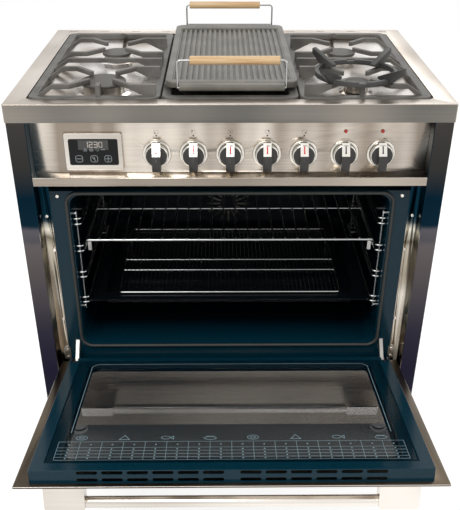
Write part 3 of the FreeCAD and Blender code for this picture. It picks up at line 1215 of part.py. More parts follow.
def door_outer_glass():
    x = WINDOW_HALF_W + WINDOW_LAP
    y = PANEL_Y - PANEL_T + PANEL_SHEET
    return rounded(-x, x, HINGE_Z + WINDOW_LOW - WINDOW_LAP, HINGE_Z + WINDOW_HIGH + WINDOW_LAP, WINDOW_R,
                   y, y + GLASS_T)


def inner_opening():
    """Half-width and heights of the opening for the inner glass."""
    return (INNER_HALF_W - INNER_BORDER, HINGE_Z + INNER_BOTTOM + INNER_BORDER_BOTTOM,
            DOOR_TOP - INNER_TOP_INSET - INNER_BORDER_TOP)


def door_inner_frame():
    """Enamelled inner pan: vent slots along its top, a ledge for the inner glass."""
    face, t = PANEL_Y + DOOR_T, INNER_SHEET
    low, high = HINGE_Z + INNER_BOTTOM, DOOR_TOP - INNER_TOP_INSET
    pan = rounded(-INNER_HALF_W, INNER_HALF_W, low, high, INNER_R, PANEL_Y, face)
    pan = pan.makeFillet(PANEL_EDGE_R, [e for e in pan.Edges if e.BoundBox.YMin > face - 0.01])
    pan = pan.cut(box(-INNER_HALF_W + t, INNER_HALF_W - t, PANEL_Y, face - t, low + t, high - t))
    ox, oz0, oz1 = inner_opening()
    seat = face - GLASS_T
    ledge = rounded(-ox - t, ox + t, oz0 - t, oz1 + t, INNER_R + t, seat - t, face)
    cuts = [rounded(-ox, ox, oz0, oz1, INNER_R, seat, face),
            rounded(-ox + GLASS_LEDGE_SIDE, ox - GLASS_LEDGE_SIDE, oz0 + GLASS_LEDGE_END, oz1 - GLASS_LEDGE_END,
                    INNER_OPENING_R, seat - t, face)]
    for row in SLOT_ROWS:
        y = face - row
        for i in range(SLOT_GROUPS):
            for side in (-1, 1):
                x0 = SLOT_FIRST + SLOT_PITCH * i
                xa, xb = sorted((side * x0, side * (x0 + SLOT_L)))
                cuts.append(rounded_z(xa, xb, y - SLOT_H / 2, y + SLOT_H / 2, SLOT_H / 2.1, high - t, high))
    for side in (-1, 1):
        x = side * HINGE_X
        wide = ARM_W / 2 + SLIP + CHEEK_T + ARM_SLOT_GAP
        cuts.append(box(x - wide, x + wide, PANEL_Y, face, low, ARM_TOP + ARM_SLOT_GAP))
    return cut(fuse([pan, ledge]), cuts)


def door_inner_glass():
    face = PANEL_Y + DOOR_T
    ox, oz0, oz1 = inner_opening()
    g = GLASS_GROOVE
    return rounded(-ox + g, ox - g, oz0 + g, oz1 - g, INNER_R, face - GLASS_T, face)


def handle(front, z):
    """Two blocks with a tube between them."""
    y0 = front - HANDLE_BLOCK_OUT
    x_in, x_out = HANDLE_BLOCK_IN, HANDLE_BLOCK_IN + HANDLE_BLOCK_W
    block = box(x_in, x_out, y0, front, z - HANDLE_BLOCK_T / 2, z + HANDLE_BLOCK_T / 2)
    block = soften(block, HANDLE_BLOCK_R, lambda m, d: abs(d.z) > 0.99 and m.y < y0 + 0.01)
    tube_y = front - HANDLE_TUBE_OUT
    end = x_in + HANDLE_TUBE_IN
    bore = cylinder((x_in, tube_y, z), (end, tube_y, z), HANDLE_TUBE_R + SHAFT_GAP - HANDLE_TUBE_SLIM)
    block = block.cut(bore)
    radius = HANDLE_TUBE_R - HANDLE_TUBE_SLIM
    tube = cylinder((-end, tube_y, z), (end, tube_y, z), radius)
    tube = tube.cut(cylinder((-end, tube_y, z), (end, tube_y, z), radius - HANDLE_TUBE_WALL))
    return block, mirrored(block), tube


def door_hinge():
    """Cheeks in the door beside the arm, with the pin they turn on."""
    inner, outer = ARM_W / 2 + SLIP, ARM_W / 2 + SLIP + CHEEK_T
    pieces = []
    for side in (-1, 1):
        x0, x1 = sorted((HINGE_X + side * inner, HINGE_X + side * outer))
        pieces.append(box(x0, x1, PANEL_Y, HINGE_Y + CHEEK_R, HINGE_Z, HINGE_Z + CHEEK_L))
        pieces.append(cylinder((x0, HINGE_Y, HINGE_Z), (x1, HINGE_Y, HINGE_Z), CHEEK_R))
    pieces.append(box(HINGE_X - outer, HINGE_X + outer, PANEL_Y, PANEL_Y + PANEL_SHEET, HINGE_Z + CHEEK_R,
                      HINGE_Z + CHEEK_L))
    pieces.append(cylinder((HINGE_X - outer, HINGE_Y, HINGE_Z), (HINGE_X + outer, HINGE_Y, HINGE_Z), HINGE_PIN_R))
    return fuse(pieces)


def hinge_arm():
    """Fixed arm and its receiver on the right, with the bracket screwed beside them."""
    x0 = HINGE_X - ARM_W / 2
    arm = plate([(x0, FRAME_Y, ARM_TOP), (x0, FRAME_Y + ARM_REACH, ARM_TOP), (x0, FRAME_Y + ARM_REACH, ARM_LOW),
                 (x0, FRAME_Y, ARM_LOW), (x0, HINGE_Y + ARM_EYE_R, HINGE_Z), (x0, HINGE_Y, HINGE_Z - ARM_EYE_R / 2),
                 (x0, HINGE_Y - ARM_EYE_R / 2, HINGE_Z + ARM_EYE_R)], ARM_W, (1, 0, 0))
    eye = cylinder((x0, HINGE_Y, HINGE_Z), (x0 + ARM_W, HINGE_Y, HINGE_Z), ARM_EYE_R)
    receiver = box(HINGE_X - RECEIVER_W / 2, HINGE_X + RECEIVER_W / 2, FRAME_Y + ENAMEL_SHEET, FRAME_Y + ARM_REACH,
                   ARM_LOW - CHEEK_T, ARM_TOP + CHEEK_T)
    arm = fuse([arm, eye, receiver]).cut(
        cylinder((x0, HINGE_Y, HINGE_Z), (x0 + ARM_W, HINGE_Y, HINGE_Z), HINGE_PIN_R + SHAFT_GAP))
    bracket = box(BRACKET_X - BRACKET_W / 2, BRACKET_X + BRACKET_W / 2, FRAME_Y - BRACKET_T, FRAME_Y,
                  BRACKET_BOTTOM, BRACKET_TOP)
    bracket = soften(bracket, BRACKET_R, lambda m, d: abs(d.y) > 0.99 and m.z > BRACKET_TOP - 0.01)
    return arm, cut(bracket, [screw_hole(x, FRAME_Y, z) for x, z in BRACKET_SCREWS])


# ---------------------------------------------------------------- drawer
def drawer_front():
    half = COLUMN_IN - DRAWER_SIDE_GAP
    y0, y1, t = COLUMN_Y, COLUMN_Y + DRAWER_T, DRAWER_SHEET
    front = rounded(-half, half, DRAWER_BOTTOM, DRAWER_TOP, FOLD_R, y0, y1)
    front = front.makeFillet(PANEL_EDGE_R, [e for e in front.Edges if e.BoundBox.YMax < y0 + 0.01])
    hollow = box(-half + t, half - t, y0 + t, y1 - t, DRAWER_BOTTOM + t, DRAWER_TOP - t)
    mouth = box(-half + DRAWER_HEM, half - DRAWER_HEM, y1 - t, y1, DRAWER_BOTTOM + DRAWER_HEM, DRAWER_TOP - DRAWER_HEM)
    return cut(front, [hollow, mouth])


def drawer_box():
    """Folded box whose side lips ride on the rails."""
    half, t = DRAWER_BOX_HALF_W, DRAWER_SHEET
    y0 = COLUMN_Y + DRAWER_T
    y1 = y0 + DRAWER_BOX_D
    z0, z1 = DRAWER_BOX_Z, DRAWER_BOX_Z + DRAWER_BOX_H
    body = box(-half, half, y0, y1, z0, z1).cut(box(-half + t, half - t, y0 + t, y1 - t, z0 + t, z1))
    lip_z = RAIL_TOP + SLIP
    reach = half + RAIL_GAP + RAIL_T
    lips = [box(-reach, -half, y0 + DRAWER_LIP_START, y1, lip_z, lip_z + t),
            box(half, reach, y0 + DRAWER_LIP_START, y1, lip_z, lip_z + t)]
    return fuse([body] + lips)


# ---------------------------------------------------------------- fasteners
def screw_hole(x, y, z):
    return cylinder((x, y - SCREW_L, z), (x, y + SCREW_L, z), SCREW_HOLE_R)


def screw(x, seat, z, way):
    """Round-headed screw seated on a sheet at y = seat, with its shank along way."""
    head = cylinder((x, seat, z), (x, seat - way * SCREW_HEAD_H, z), SCREW_HEAD_R)
    far = seat - way * SCREW_HEAD_H
    head = head.makeFillet(SCREW_HEAD_H / 2, [e for e in head.Edges if abs(e.BoundBox.Center.y - far) < 0.01])
    return fuse([head, cylinder((x, seat, z), (x, seat + way * SCREW_L, z), SCREW_SHANK_R)])


def screws():
    solids = []
    for x in (-1, 1):
        for places, seat, way in ((FLANGE_SCREWS, FRAME_Y, 1), (FRAME_SCREWS, FRAME_Y, 1),
                                  (BRACKET_SCREWS, FRAME_Y - BRACKET_T, 1), (BACK_SCREWS, BODY_BACK_Y, -1)):
            solids += [screw(x * px, seat, z, way) for px, z in places]
    return solids


# ---------------------------------------------------------------- the pieces
panel = side_panel()
save("side_panels", panel, mirrored(panel))
save("back_panel", back_panel())
save("base_pan", base_pan())
save("legs", *[leg(x, y) for x in (-LEG_X, LEG_X) for y in (-LEG_Y, LEG_Y)])
save("worktop", worktop())
save("hob_tray", hob_tray())
save("burner_heads", *([burner_crown(*b) for b in BURNERS] + [burner_cup(*b[:3]) for b in BURNERS]))
save("burner_caps", *[burner_cap(*b) for b in BURNERS])
save("burner_electrodes", *[electrode(x, y, d, h, angle) for x, y, d, cap, h in BURNERS for angle in ELECTRODE_ANGLES])

left = grate_left()
save("grate_left", left)
save("grate_right", mirrored(left))
save("grate_centre", grate_centre())
save("wok_ring", wok_ring())
save("griddle", griddle())
save("bail_front", bail(BAIL_FRONT_Y))
save("bail_rear", bail(BAIL_REAR_Y))
save("grip_front", grip(BAIL_FRONT_Y, GRIP_SHIFT_FRONT))
save("grip_rear", grip(BAIL_REAR_Y, GRIP_SHIFT_REAR))

save("control_fascia", fascia())
save("knob_rings", *[knob_ring(x) for x in GAS_KNOB_X + OVEN_KNOB_X])
save("gas_taps", *[gas_tap(x) for x in GAS_KNOB_X])
for number, x in enumerate(GAS_KNOB_X, 1):
    save("gas_knob_%d" % number, knob(x, TAP_Y + GAS_SPINDLE_IN))
    save("tap_spindle_%d" % number, tap_spindle(x))
for name, x in zip(("thermostat_knob", "selector_knob"), OVEN_KNOB_X):
    save(name, knob(x, FASCIA_Y + SHEET + SWITCH_BORE))
save("oven_switches", *[oven_switch(x) for x in OVEN_KNOB_X])
save("gas_manifold", *gas_manifold())
save("clock_housing", clock_housing())
save("clock_glass", clock_glass())
save("pilot_lamps", *[pilot_lamp(x) for x in OVEN_KNOB_X])

save("oven_cavity", oven_cavity())
save("door_gasket", gasket())
save("fan_cover", fan_cover())
save("convection_fan", convection_fan())
save("fan_motor", fan_motor())
save("heating_elements", *heating_elements())
save("oven_lamp", oven_lamp())
ladder = shelf_ladder()
save("shelf_ladders", ladder, mirrored(ladder))
save("wire_rack", wire_rack())
save("baking_tray", baking_tray())
save("tray_grid", tray_grid())

save("door_outer_panel", door_open(door_outer_panel()))
save("door_outer_glass", door_open(door_outer_glass()))
save("door_inner_frame", door_open(door_inner_frame()))
save("door_inner_glass", door_open(door_inner_glass()))
door_handle = handle(PANEL_Y - PANEL_T, DOOR_TOP - HANDLE_DROP)
save("door_handle", *[door_open(piece) for piece in door_handle])
hinge = door_open(door_hinge())
save("door_hinges", hinge, mirrored(hinge))
arm, bracket = hinge_arm()
save("hinge_arms", arm, mirrored(arm), bracket, mirrored(bracket))

save("drawer_front", drawer_front())
save("drawer_box", drawer_box())
save("drawer_handle", *handle(COLUMN_Y, DRAWER_HANDLE_Z))
save("screws", *screws())
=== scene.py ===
# %% [markdown]
# # A range cooker with its oven door open
# The real cooker is folded stainless sheet round an enamelled oven, with cast iron on top.
# The imported CAD model gives every piece its place and size. This script adds the finishes, the softer
# edges and the small printed details that the eye looks for.

# %% Load the frame
import json
import math
import bmesh
import bpy
from mathutils import Matrix, Vector


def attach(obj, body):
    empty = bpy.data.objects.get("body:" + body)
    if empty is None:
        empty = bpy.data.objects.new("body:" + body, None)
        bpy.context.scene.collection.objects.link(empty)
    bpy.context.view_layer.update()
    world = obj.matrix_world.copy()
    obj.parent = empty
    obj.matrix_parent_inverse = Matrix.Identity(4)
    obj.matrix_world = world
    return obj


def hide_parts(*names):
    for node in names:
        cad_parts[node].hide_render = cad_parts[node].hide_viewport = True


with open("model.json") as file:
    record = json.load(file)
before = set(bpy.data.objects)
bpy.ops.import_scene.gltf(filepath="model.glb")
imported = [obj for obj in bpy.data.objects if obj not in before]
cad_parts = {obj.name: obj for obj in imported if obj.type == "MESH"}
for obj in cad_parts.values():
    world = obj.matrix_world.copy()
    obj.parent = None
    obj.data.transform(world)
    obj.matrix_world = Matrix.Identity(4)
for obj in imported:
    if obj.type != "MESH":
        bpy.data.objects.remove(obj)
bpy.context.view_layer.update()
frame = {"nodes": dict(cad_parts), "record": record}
nodes = frame["nodes"]
scene = bpy.context.scene
scene.view_settings.view_transform = "Standard"
print("pieces in the frame:", len(nodes))

# %% [markdown]
# ## The camera
# A product picture of a cooker is taken from a standing height, looking down at about thirty degrees,
# so that the hob and the inside of the open door both show. The lens is a little long, which keeps
# the sides from splaying. The camera's three directions are written out and put into one matrix.

# %% Camera
CAMERA_PLACE = Vector((-0.01719, -1.73234, 1.38866))
CAMERA_PITCH = math.radians(30.092)
CAMERA_YAW = math.radians(0.672)
CAMERA_ROLL = math.radians(0.163)
CAMERA_LENS = 53.42


def camera_axes(pitch, yaw, roll):
    """The camera's right, up and back directions as one matrix."""
    ahead = Vector((math.sin(yaw) * math.cos(pitch), math.cos(yaw) * math.cos(pitch), -math.sin(pitch)))
    right = Vector((math.cos(yaw), -math.sin(yaw), 0))
    up = right.cross(ahead)
    tilted_right = right * math.cos(roll) + up * math.sin(roll)
    tilted_up = up * math.cos(roll) - right * math.sin(roll)
    return Matrix((tilted_right, tilted_up, -ahead)).transposed().to_4x4()


camera = bpy.data.objects.new("camera", bpy.data.cameras.new("camera"))
camera.data.lens = CAMERA_LENS
camera.matrix_world = Matrix.Translation(CAMERA_PLACE) @ camera_axes(CAMERA_PITCH, CAMERA_YAW, CAMERA_ROLL)
scene.collection.objects.link(camera)
scene.camera = camera
print("camera at", tuple(round(v, 3) for v in CAMERA_PLACE))

# %% [markdown]
# ## Three small helpers
# Screens mix colour in sRGB and Blender mixes it in linear light, so one function turns a hex value
# to linear. One adds a shader node with its settings, its values or links, and a ramp's stops. One
# starts a material with a Principled shader, because every finish here begins there.

# %% Colour, nodes and materials


def linear(hex_code):
    """sRGB hex to linear RGBA."""
    channels = [int(hex_code[i:i + 2], 16) / 255 for i in (0, 2, 4)]
    return [c / 12.92 if c <= 0.04045 else ((c + 0.055) / 1.055) ** 2.4 for c in channels] + [1.0]


def add(tree, kind, inputs=None, stops=(), **settings):
    """One node: its inputs as values or sockets, a ramp's stops as (position, hex), its settings."""
    made = tree.nodes.new(kind)
    for name, value in settings.items():
        setattr(made, name, value)
    for name, value in (inputs or {}).items():
        if isinstance(value, bpy.types.NodeSocket):
            tree.links.new(value, made.inputs[name])
        else:
            made.inputs[name].default_value = value
    for index, (position, hex_code) in enumerate(stops):
        ramp = made.color_ramp.elements
        stop = ramp[index] if index < 2 else ramp.new(position)
        stop.position = position
        stop.color = linear(hex_code)
    return made


def finish(name, hex_code, roughness, metallic=0.0, **sockets):
    """A new material with a Principled shader: the material, its tree, the shader, object coordinates."""
    made = bpy.data.materials.new(name)
    made.use_nodes = True
    made.diffuse_color = linear(hex_code)
    shader = made.node_tree.nodes["Principled BSDF"]
    shader.inputs["Base Color"].default_value = linear(hex_code)
    shader.inputs["Roughness"].default_value = roughness
    shader.inputs["Metallic"].default_value = metallic
    for socket, value in sockets.items():
        shader.inputs[socket.replace("_", " ")].default_value = value
    where = add(made.node_tree, "ShaderNodeTexCoord").outputs["Object"]
    return made, made.node_tree, shader, where

# %% [markdown]
# ## Brushed stainless steel
# The sheet is AISI 304, polished with a fine belt along its length, less than a tenth of a millimetre
# between scratches. At this distance they barely show, so they are drawn 1.2 mm apart and very faint,
# stretched along the brushing. What shows more is the room mirrored in a large sheet, so a second,
# slow noise paints that reflection into the tone as patches with their own size in each direction: tall
# narrow ones on the fascia, long low ones on the worktop's front.

# %% Brushed steel
BRUSH_PITCH = 0.0012          # metres; coarser than real, so that it shows
BRUSH_LENGTH = 0.25


def brushed_steel(name, dark, light, roughness, patch=(0.5, 0.3, 0.3), contrast=0.12):
    """Stainless sheet brushed along X, with reflection patches painted into its tone between two hex
    values.
    """
    made, tree, shader, where = finish(name, light, roughness, 1.0)
    fine = (1 / BRUSH_LENGTH, 1 / BRUSH_PITCH, 1 / BRUSH_PITCH)
    stretched = add(tree, "ShaderNodeMapping", {"Vector": where, "Scale": fine})
    streaks = add(tree, "ShaderNodeTexNoise", {"Vector": stretched.outputs[0], "Scale": 1.0, "Detail": 2.0})
    # the slow noise paints the room's reflection into the tone as patches
    slowed = add(tree, "ShaderNodeMapping", {"Vector": where, "Scale": [1 / size for size in patch]})
    patches = add(tree, "ShaderNodeTexNoise", {"Vector": slowed.outputs[0], "Scale": 1.0, "Detail": 1.0})
    blend = add(tree, "ShaderNodeMix", {0: contrast, 2: patches.outputs[0], 3: streaks.outputs[0]})
    tone = add(tree, "ShaderNodeValToRGB", {0: blend.outputs[0]}, ((0.38, dark), (0.62, light)))
    tree.links.new(tone.outputs[0], shader.inputs["Base Color"])
    gloss = add(tree, "ShaderNodeMapRange",
                {0: streaks.outputs[0], 3: roughness * 0.85, 4: roughness * 1.15})
    tree.links.new(gloss.outputs[0], shader.inputs["Roughness"])
    relief = add(tree, "ShaderNodeBump", {"Height": streaks.outputs[0], "Strength": 0.05, "Distance": 2e-5})
    tree.links.new(relief.outputs[0], shader.inputs["Normal"])
    return made


steel_top = brushed_steel("brushed_304_worktop", "A89D91", "CFC6BC", 0.32)
# darker copy of the worktop steel: a painted reflection on the worktop's front
worktop_front_painted_reflection = brushed_steel("brushed_304_worktop_front_painted_reflection", "6A6864", "8E8880", 0.30, (0.28, 1, 1))
steel_front = brushed_steel("brushed_304_fascia", "988C80", "DDD4C8", 0.26, (0.075, 1, 0.9))
# bright copy: a painted highlight on the fascia's ledge and along rounded bends
steel_painted_highlight = brushed_steel("brushed_304_ledge_painted_highlight", "D8D0C5", "F6F1EA", 0.22, (0.2, 1, 1))
# darker copy: painted shade on the fascia's lip and on the drawer front under the door
steel_painted_shade = brushed_steel("brushed_304_lip_painted_shade", "8F857A", "B9AFA2", 0.28, (0.35, 1, 1))
# dark bronze copy: a painted reflection on the door's folds
door_painted_reflection = brushed_steel("brushed_304_door_edge_painted_reflection", "4E463C", "75695A", 0.30, (0.3, 0.3, 1))
# satin steel of the handles, also used as the painted highlight on the door's bends
handle_steel_and_painted_highlight = brushed_steel("satin_304_handle", "B9B1A7", "EFE9E2", 0.24)
steel_plain = brushed_steel("mill_304_sheet", "84827F", "B4B1AC", 0.34)
steel_inside = brushed_steel("polished_304_hob_tray", "AFA497", "F2EEEA", 0.20, (0.11, 0.16, 1))
print("steel streaks every", BRUSH_PITCH * 1000, "mm")

# %% [markdown]
# ## Polished steel columns
# The side columns are the same steel with a brighter polish. They stand on edge to the room, and a tall
# narrow polished sheet mirrors the room in bands across it: dark where it mirrors the floor and the
# cabinets, pale where it mirrors the lit wall. These reflections are painted into the colour as a ramp over
# the height, with a small ripple for the unevenness of the sheet. The flange that carries the oven front
# lies deeper and gets other painted reflection bands.

# %% Polished columns
COLUMN_TOP = 0.9              # metres of height that a ramp covers
SHEET_RIPPLE = 0.05           # size of the unevenness in the gloss and in the painted reflection bands


def painted_reflection_steel(name, bands, ripple, roughness=0.15):
    """Polished sheet with reflection bands painted into its colour by height, from (metres, hex) pairs."""
    made, tree, shader, where = finish(name, bands[-1][1], roughness, 1.0)
    uneven = add(tree, "ShaderNodeTexNoise", {"Vector": where, "Scale": 1 / SHEET_RIPPLE, "Detail": 1.0})
    height = add(tree, "ShaderNodeSeparateXYZ", {0: where}).outputs["Z"]
    wavy = add(tree, "ShaderNodeMath", {0: uneven.outputs[0], 1: ripple, 2: height},
               operation="MULTIPLY_ADD")
    along = add(tree, "ShaderNodeMapRange", {0: wavy.outputs[0], 2: COLUMN_TOP})
    stops = [(z / COLUMN_TOP, code) for z, code in bands]
    tone = add(tree, "ShaderNodeValToRGB", {0: along.outputs[0]}, stops)
    tree.links.new(tone.outputs[0], shader.inputs["Base Color"])
    gloss = add(tree, "ShaderNodeMapRange", {0: uneven.outputs[0], 3: roughness * 0.8, 4: roughness * 1.2})
    tree.links.new(gloss.outputs[0], shader.inputs["Roughness"])
    return made


# painted reflection bands on the columns' face: dark where it mirrors the floor, pale where it mirrors the
# wall
column_painted_reflection = painted_reflection_steel("polished_304_column_painted_reflection", (
    (0.06, "12131C"), (0.25, "1D1B2C"), (0.36, "2C2A36"), (0.52, "514C4D"), (0.585, "5C5658"),
    (0.60, "4E4C50"), (0.625, "56545A"), (0.635, "0E2431"), (0.70, "0A2230"),
    (0.765, "353534"), (0.90, "464240")), 0.012)
# painted reflection bands on the flange, teal where it mirrors the enamel
flange_painted_reflection = painted_reflection_steel("polished_304_flange_painted_reflection", (
    (0.26, "6E675E"), (0.30, "BFB6A8"), (0.45, "D9D2C6"), (0.50, "9C9384"), (0.575, "B5AC9C"),
    (0.60, "6B6557"), (0.625, "DCD6C8"), (0.645, "3C4A50"), (0.66, "0C2A38"), (0.90, "082430")), 0.05)
print("banded steels:", column_painted_reflection.name, flange_painted_reflection.name)

# %% [markdown]
# ## Cast iron
# The grates, the wok ring and the griddle are poured in sand. The grates are coated with a matt grey
# enamel, the wok ring is raw and the griddle is seasoned with oil. The sand leaves grains of about half
# a millimetre; they are drawn at one millimetre so that they show from a step away. A slow cloud in the
# tone is the uneven coat.

# %% Cast iron
SAND_GRAIN = 0.001
COAT_CLOUD = 0.055


def cast_iron(name, dark, light, roughness):
    """Sand-cast iron under a thin matt coat."""
    made, tree, shader, where = finish(name, light, roughness, IOR=1.5)
    grain = add(tree, "ShaderNodeTexNoise", {"Vector": where, "Scale": 1 / SAND_GRAIN, "Detail": 4.0})
    cloud = add(tree, "ShaderNodeTexNoise", {"Vector": where, "Scale": 1 / COAT_CLOUD, "Detail": 3.0})
    tone = add(tree, "ShaderNodeValToRGB", {0: cloud.outputs[0]}, ((0.35, dark), (0.65, light)))
    tree.links.new(tone.outputs[0], shader.inputs["Base Color"])
    gloss = add(tree, "ShaderNodeMapRange", {0: grain.outputs[0], 3: roughness - 0.08, 4: roughness + 0.12})
    tree.links.new(gloss.outputs[0], shader.inputs["Roughness"])
    relief = add(tree, "ShaderNodeBump", {"Height": grain.outputs[0], "Strength": 0.5, "Distance": 3e-4})
    tree.links.new(relief.outputs[0], shader.inputs["Normal"])
    return made


iron_grate = cast_iron("matt_enamelled_cast_iron", "524F4B", "6C6863", 0.50)
iron_wok = cast_iron("raw_cast_iron", "2E2D2C", "474644", 0.52)
iron_griddle = cast_iron("seasoned_cast_iron", "66635C", "7A766E", 0.50)

# %% [markdown]
# ## Vitreous enamel
# Enamel is glass melted onto the sheet: no metal, an IOR of 1.5 and a wet gloss. Fine pale flecks and
# a slight orange peel, a few millimetres across, keep it from looking like paint. Its specular level is
# kept low, because a dark oven mirrors mostly itself. Towards the back of the muffle little light
# reaches, so shade is painted into the colour: it deepens over the first centimetres.

# %% Enamel
FLECK = 0.0012
ORANGE_PEEL = 0.006
ENAMEL_SPECULAR = 0.22
MOUTH_Y = -0.257              # the oven front, where the painted shade starts
SHADE_REACH = 0.10


def enamel(name, hex_code, fleck, roughness, inner_shade=None):
    """Glassy enamel with small flecks of a paler tone; the last argument is the colour of painted shade
    inside the oven.
    """
    made, tree, shader, where = finish(name, hex_code, roughness, IOR=1.5,
                                       Specular_IOR_Level=ENAMEL_SPECULAR)
    flecks = add(tree, "ShaderNodeTexNoise", {"Vector": where, "Scale": 1 / FLECK, "Detail": 1.0})
    tone = add(tree, "ShaderNodeValToRGB", {0: flecks.outputs[0]}, ((0.62, hex_code), (0.74, fleck)))
    colour = tone.outputs[0]
    # painted shade: the colour darkens from the oven front inwards
    if inner_shade:
        depth = add(tree, "ShaderNodeSeparateXYZ", {0: where}).outputs["Y"]
        inward = add(tree, "ShaderNodeMapRange", {0: depth, 1: MOUTH_Y, 2: MOUTH_Y + SHADE_REACH})
        shade_mix = add(tree, "ShaderNodeMix", {0: inward.outputs[0], 6: colour, 7: linear(inner_shade)},
                      data_type="RGBA")
        colour = shade_mix.outputs[2]
    tree.links.new(colour, shader.inputs["Base Color"])
    peel = add(tree, "ShaderNodeTexNoise", {"Vector": where, "Scale": 1 / ORANGE_PEEL, "Detail": 1.0})
    relief = add(tree, "ShaderNodeBump", {"Height": peel.outputs[0], "Strength": 0.12, "Distance": 4e-4})
    tree.links.new(relief.outputs[0], shader.inputs["Normal"])
    return made


# the muffle's enamel gets painted shade towards the back
enamel_oven = enamel("glossy_blue_enamel", "04303F", "1B4A5C", 0.14, inner_shade="010D14")
enamel_pan = enamel("glossy_blue_door_enamel", "053140", "2B5365", 0.16)
enamel_back = enamel("glossy_black_enamel", "020A0F", "0F222B", 0.22)
enamel_tray = enamel("speckled_tray_enamel", "070C10", "202A30", 0.20)
enamel_cap = enamel("matt_black_enamel", "56524D", "66625C", 0.45)
print("enamels:", 5)

# %% [markdown]
# ## Chrome and plain metals
# Chrome plate is a metal with a low roughness, cast burner heads are satin aluminium and taps are
# machined brass. Smears of the size of a fingertip in the roughness keep them
# from looking computed.

# %% Plain metals
SMEAR = 0.012


def bare_metal(name, hex_code, roughness):
    """A metal with slightly uneven gloss."""
    made, tree, shader, where = finish(name, hex_code, roughness, 1.0)
    smear = add(tree, "ShaderNodeTexNoise", {"Vector": where, "Scale": 1 / SMEAR, "Detail": 4.0})
    gloss = add(tree, "ShaderNodeMapRange", {0: smear.outputs[0], 3: roughness * 0.7, 4: roughness * 1.4})
    tree.links.new(gloss.outputs[0], shader.inputs["Roughness"])
    return made


knob_plate = bare_metal("polished_knob_plate", "E9E4DC", 0.22)
chrome_wire = bare_metal("chrome_plated_wire", "B9B9B8", 0.14)
chrome_ring = bare_metal("chrome_plated_zinc", "D8D4CC", 0.14)
aluminium = bare_metal("satin_cast_aluminium", "A7A29A", 0.34)
brass = bare_metal("machined_brass", "B89452", 0.28)
zinc = bare_metal("zinc_plated_steel", "9A9A98", 0.38)

# %% [markdown]
# ## Plastics, inks and small parts
# Knobs are satin black phenolic. Moulded parts take the fine matt texture of their mould, about a
# millimetre and a half from grain to grain as drawn here. Screen inks are thin and flat.

# %% Mouldings
MOULD_GRAIN = 0.0015


def moulded(name, hex_code, roughness):
    """A moulded or printed dielectric with a faint grain."""
    made, tree, shader, where = finish(name, hex_code, roughness, IOR=1.5)
    grain = add(tree, "ShaderNodeTexNoise", {"Vector": where, "Scale": 1 / MOULD_GRAIN, "Detail": 2.0})
    gloss = add(tree, "ShaderNodeMapRange", {0: grain.outputs[0], 3: roughness * 0.85, 4: roughness * 1.2})
    tree.links.new(gloss.outputs[0], shader.inputs["Roughness"])
    relief = add(tree, "ShaderNodeBump", {"Height": grain.outputs[0], "Strength": 0.1, "Distance": 1e-4})
    tree.links.new(relief.outputs[0], shader.inputs["Normal"])
    return made


black_knob = moulded("satin_phenolic", "34322F", 0.36)
black_part = moulded("moulded_nylon", "1B1B1D", 0.5)
red_inlay = moulded("red_moulded_inlay", "E0101C", 0.4)
grey_ink = moulded("grey_screen_ink", "A7AEB0", 0.5)
black_ink = moulded("black_screen_ink", "1A1A1A", 0.5)
shade_ink = moulded("grey_display_film", "4A4A48", 0.5)
table_ink = moulded("pale_table_ink", "8FA9B2", 0.55)
glow_ink = moulded("warm_display_white", "E6DCD2", 0.5)
lamp_lens = moulded("orange_polycarbonate", "D8341C", 0.2)
lamp_frost = moulded("frosted_lamp_glass", "C9C4B4", 0.35)
porcelain = moulded("glazed_porcelain", "E4DFD2", 0.25)
seal = moulded("woven_glass_seal", "3A3C3A", 0.55)

# %% [markdown]
# ## Tinted glass
# Oven glass is grey-blue and reflects the room in front of a dark oven. A dark tint with a low alpha
# shows the same in any viewer, where true refraction would not. A slow film in the roughness is the
# trace of a wiping cloth.

# %% Glass
CLOTH_WIPE = 0.16
GLASS_SPECULAR = 0.25


def pane(name, hex_code, alpha, roughness=0.03):
    """See-through tinted glass."""
    made, tree, shader, where = finish(name, hex_code, roughness, IOR=1.5, Alpha=alpha,
                                       Specular_IOR_Level=GLASS_SPECULAR)
    film = add(tree, "ShaderNodeTexNoise", {"Vector": where, "Scale": 1 / CLOTH_WIPE, "Detail": 3.0})
    gloss = add(tree, "ShaderNodeMapRange", {0: film.outputs[0], 3: roughness * 0.8, 4: roughness * 1.8})
    tree.links.new(gloss.outputs[0], shader.inputs["Roughness"])
    made.surface_render_method = "BLENDED"
    return made


glass_inner = pane("tinted_oven_glass", "032230", 0.28)
glass_outer = pane("grey_oven_glass", "04141C", 0.30)
glass_clock = pane("smoked_display_glass", "030406", 0.97, 0.05)

# %% [markdown]
# ## Oiled beech
# Turned beech has a fine straight grain along the grip. Its growth rings are about two millimetres
# apart, so the grain is a noise stretched along X, the grip's length.

# %% Beech
RING_SPACING = 0.002
GRAINS_PER_METRE = 9          # along the grip

beech, tree, shader, where = finish("oiled_beech", "E8C79A", 0.42, IOR=1.5)
along = add(tree, "ShaderNodeMapping",
            {"Vector": where, "Scale": (GRAINS_PER_METRE, 1 / RING_SPACING, 1 / RING_SPACING)})
grain = add(tree, "ShaderNodeTexNoise", {"Vector": along.outputs[0], "Scale": 1.0, "Detail": 4.0})
tone = add(tree, "ShaderNodeValToRGB", {0: grain.outputs[0]},
           ((0.30, "C99A66"), (0.50, "E3BE8E"), (0.72, "F2DCB8")))
tree.links.new(tone.outputs[0], shader.inputs["Base Color"])
relief = add(tree, "ShaderNodeBump", {"Height": grain.outputs[0], "Strength": 0.2, "Distance": 3e-4})
tree.links.new(relief.outputs[0], shader.inputs["Normal"])
print("materials so far:", len(bpy.data.materials))
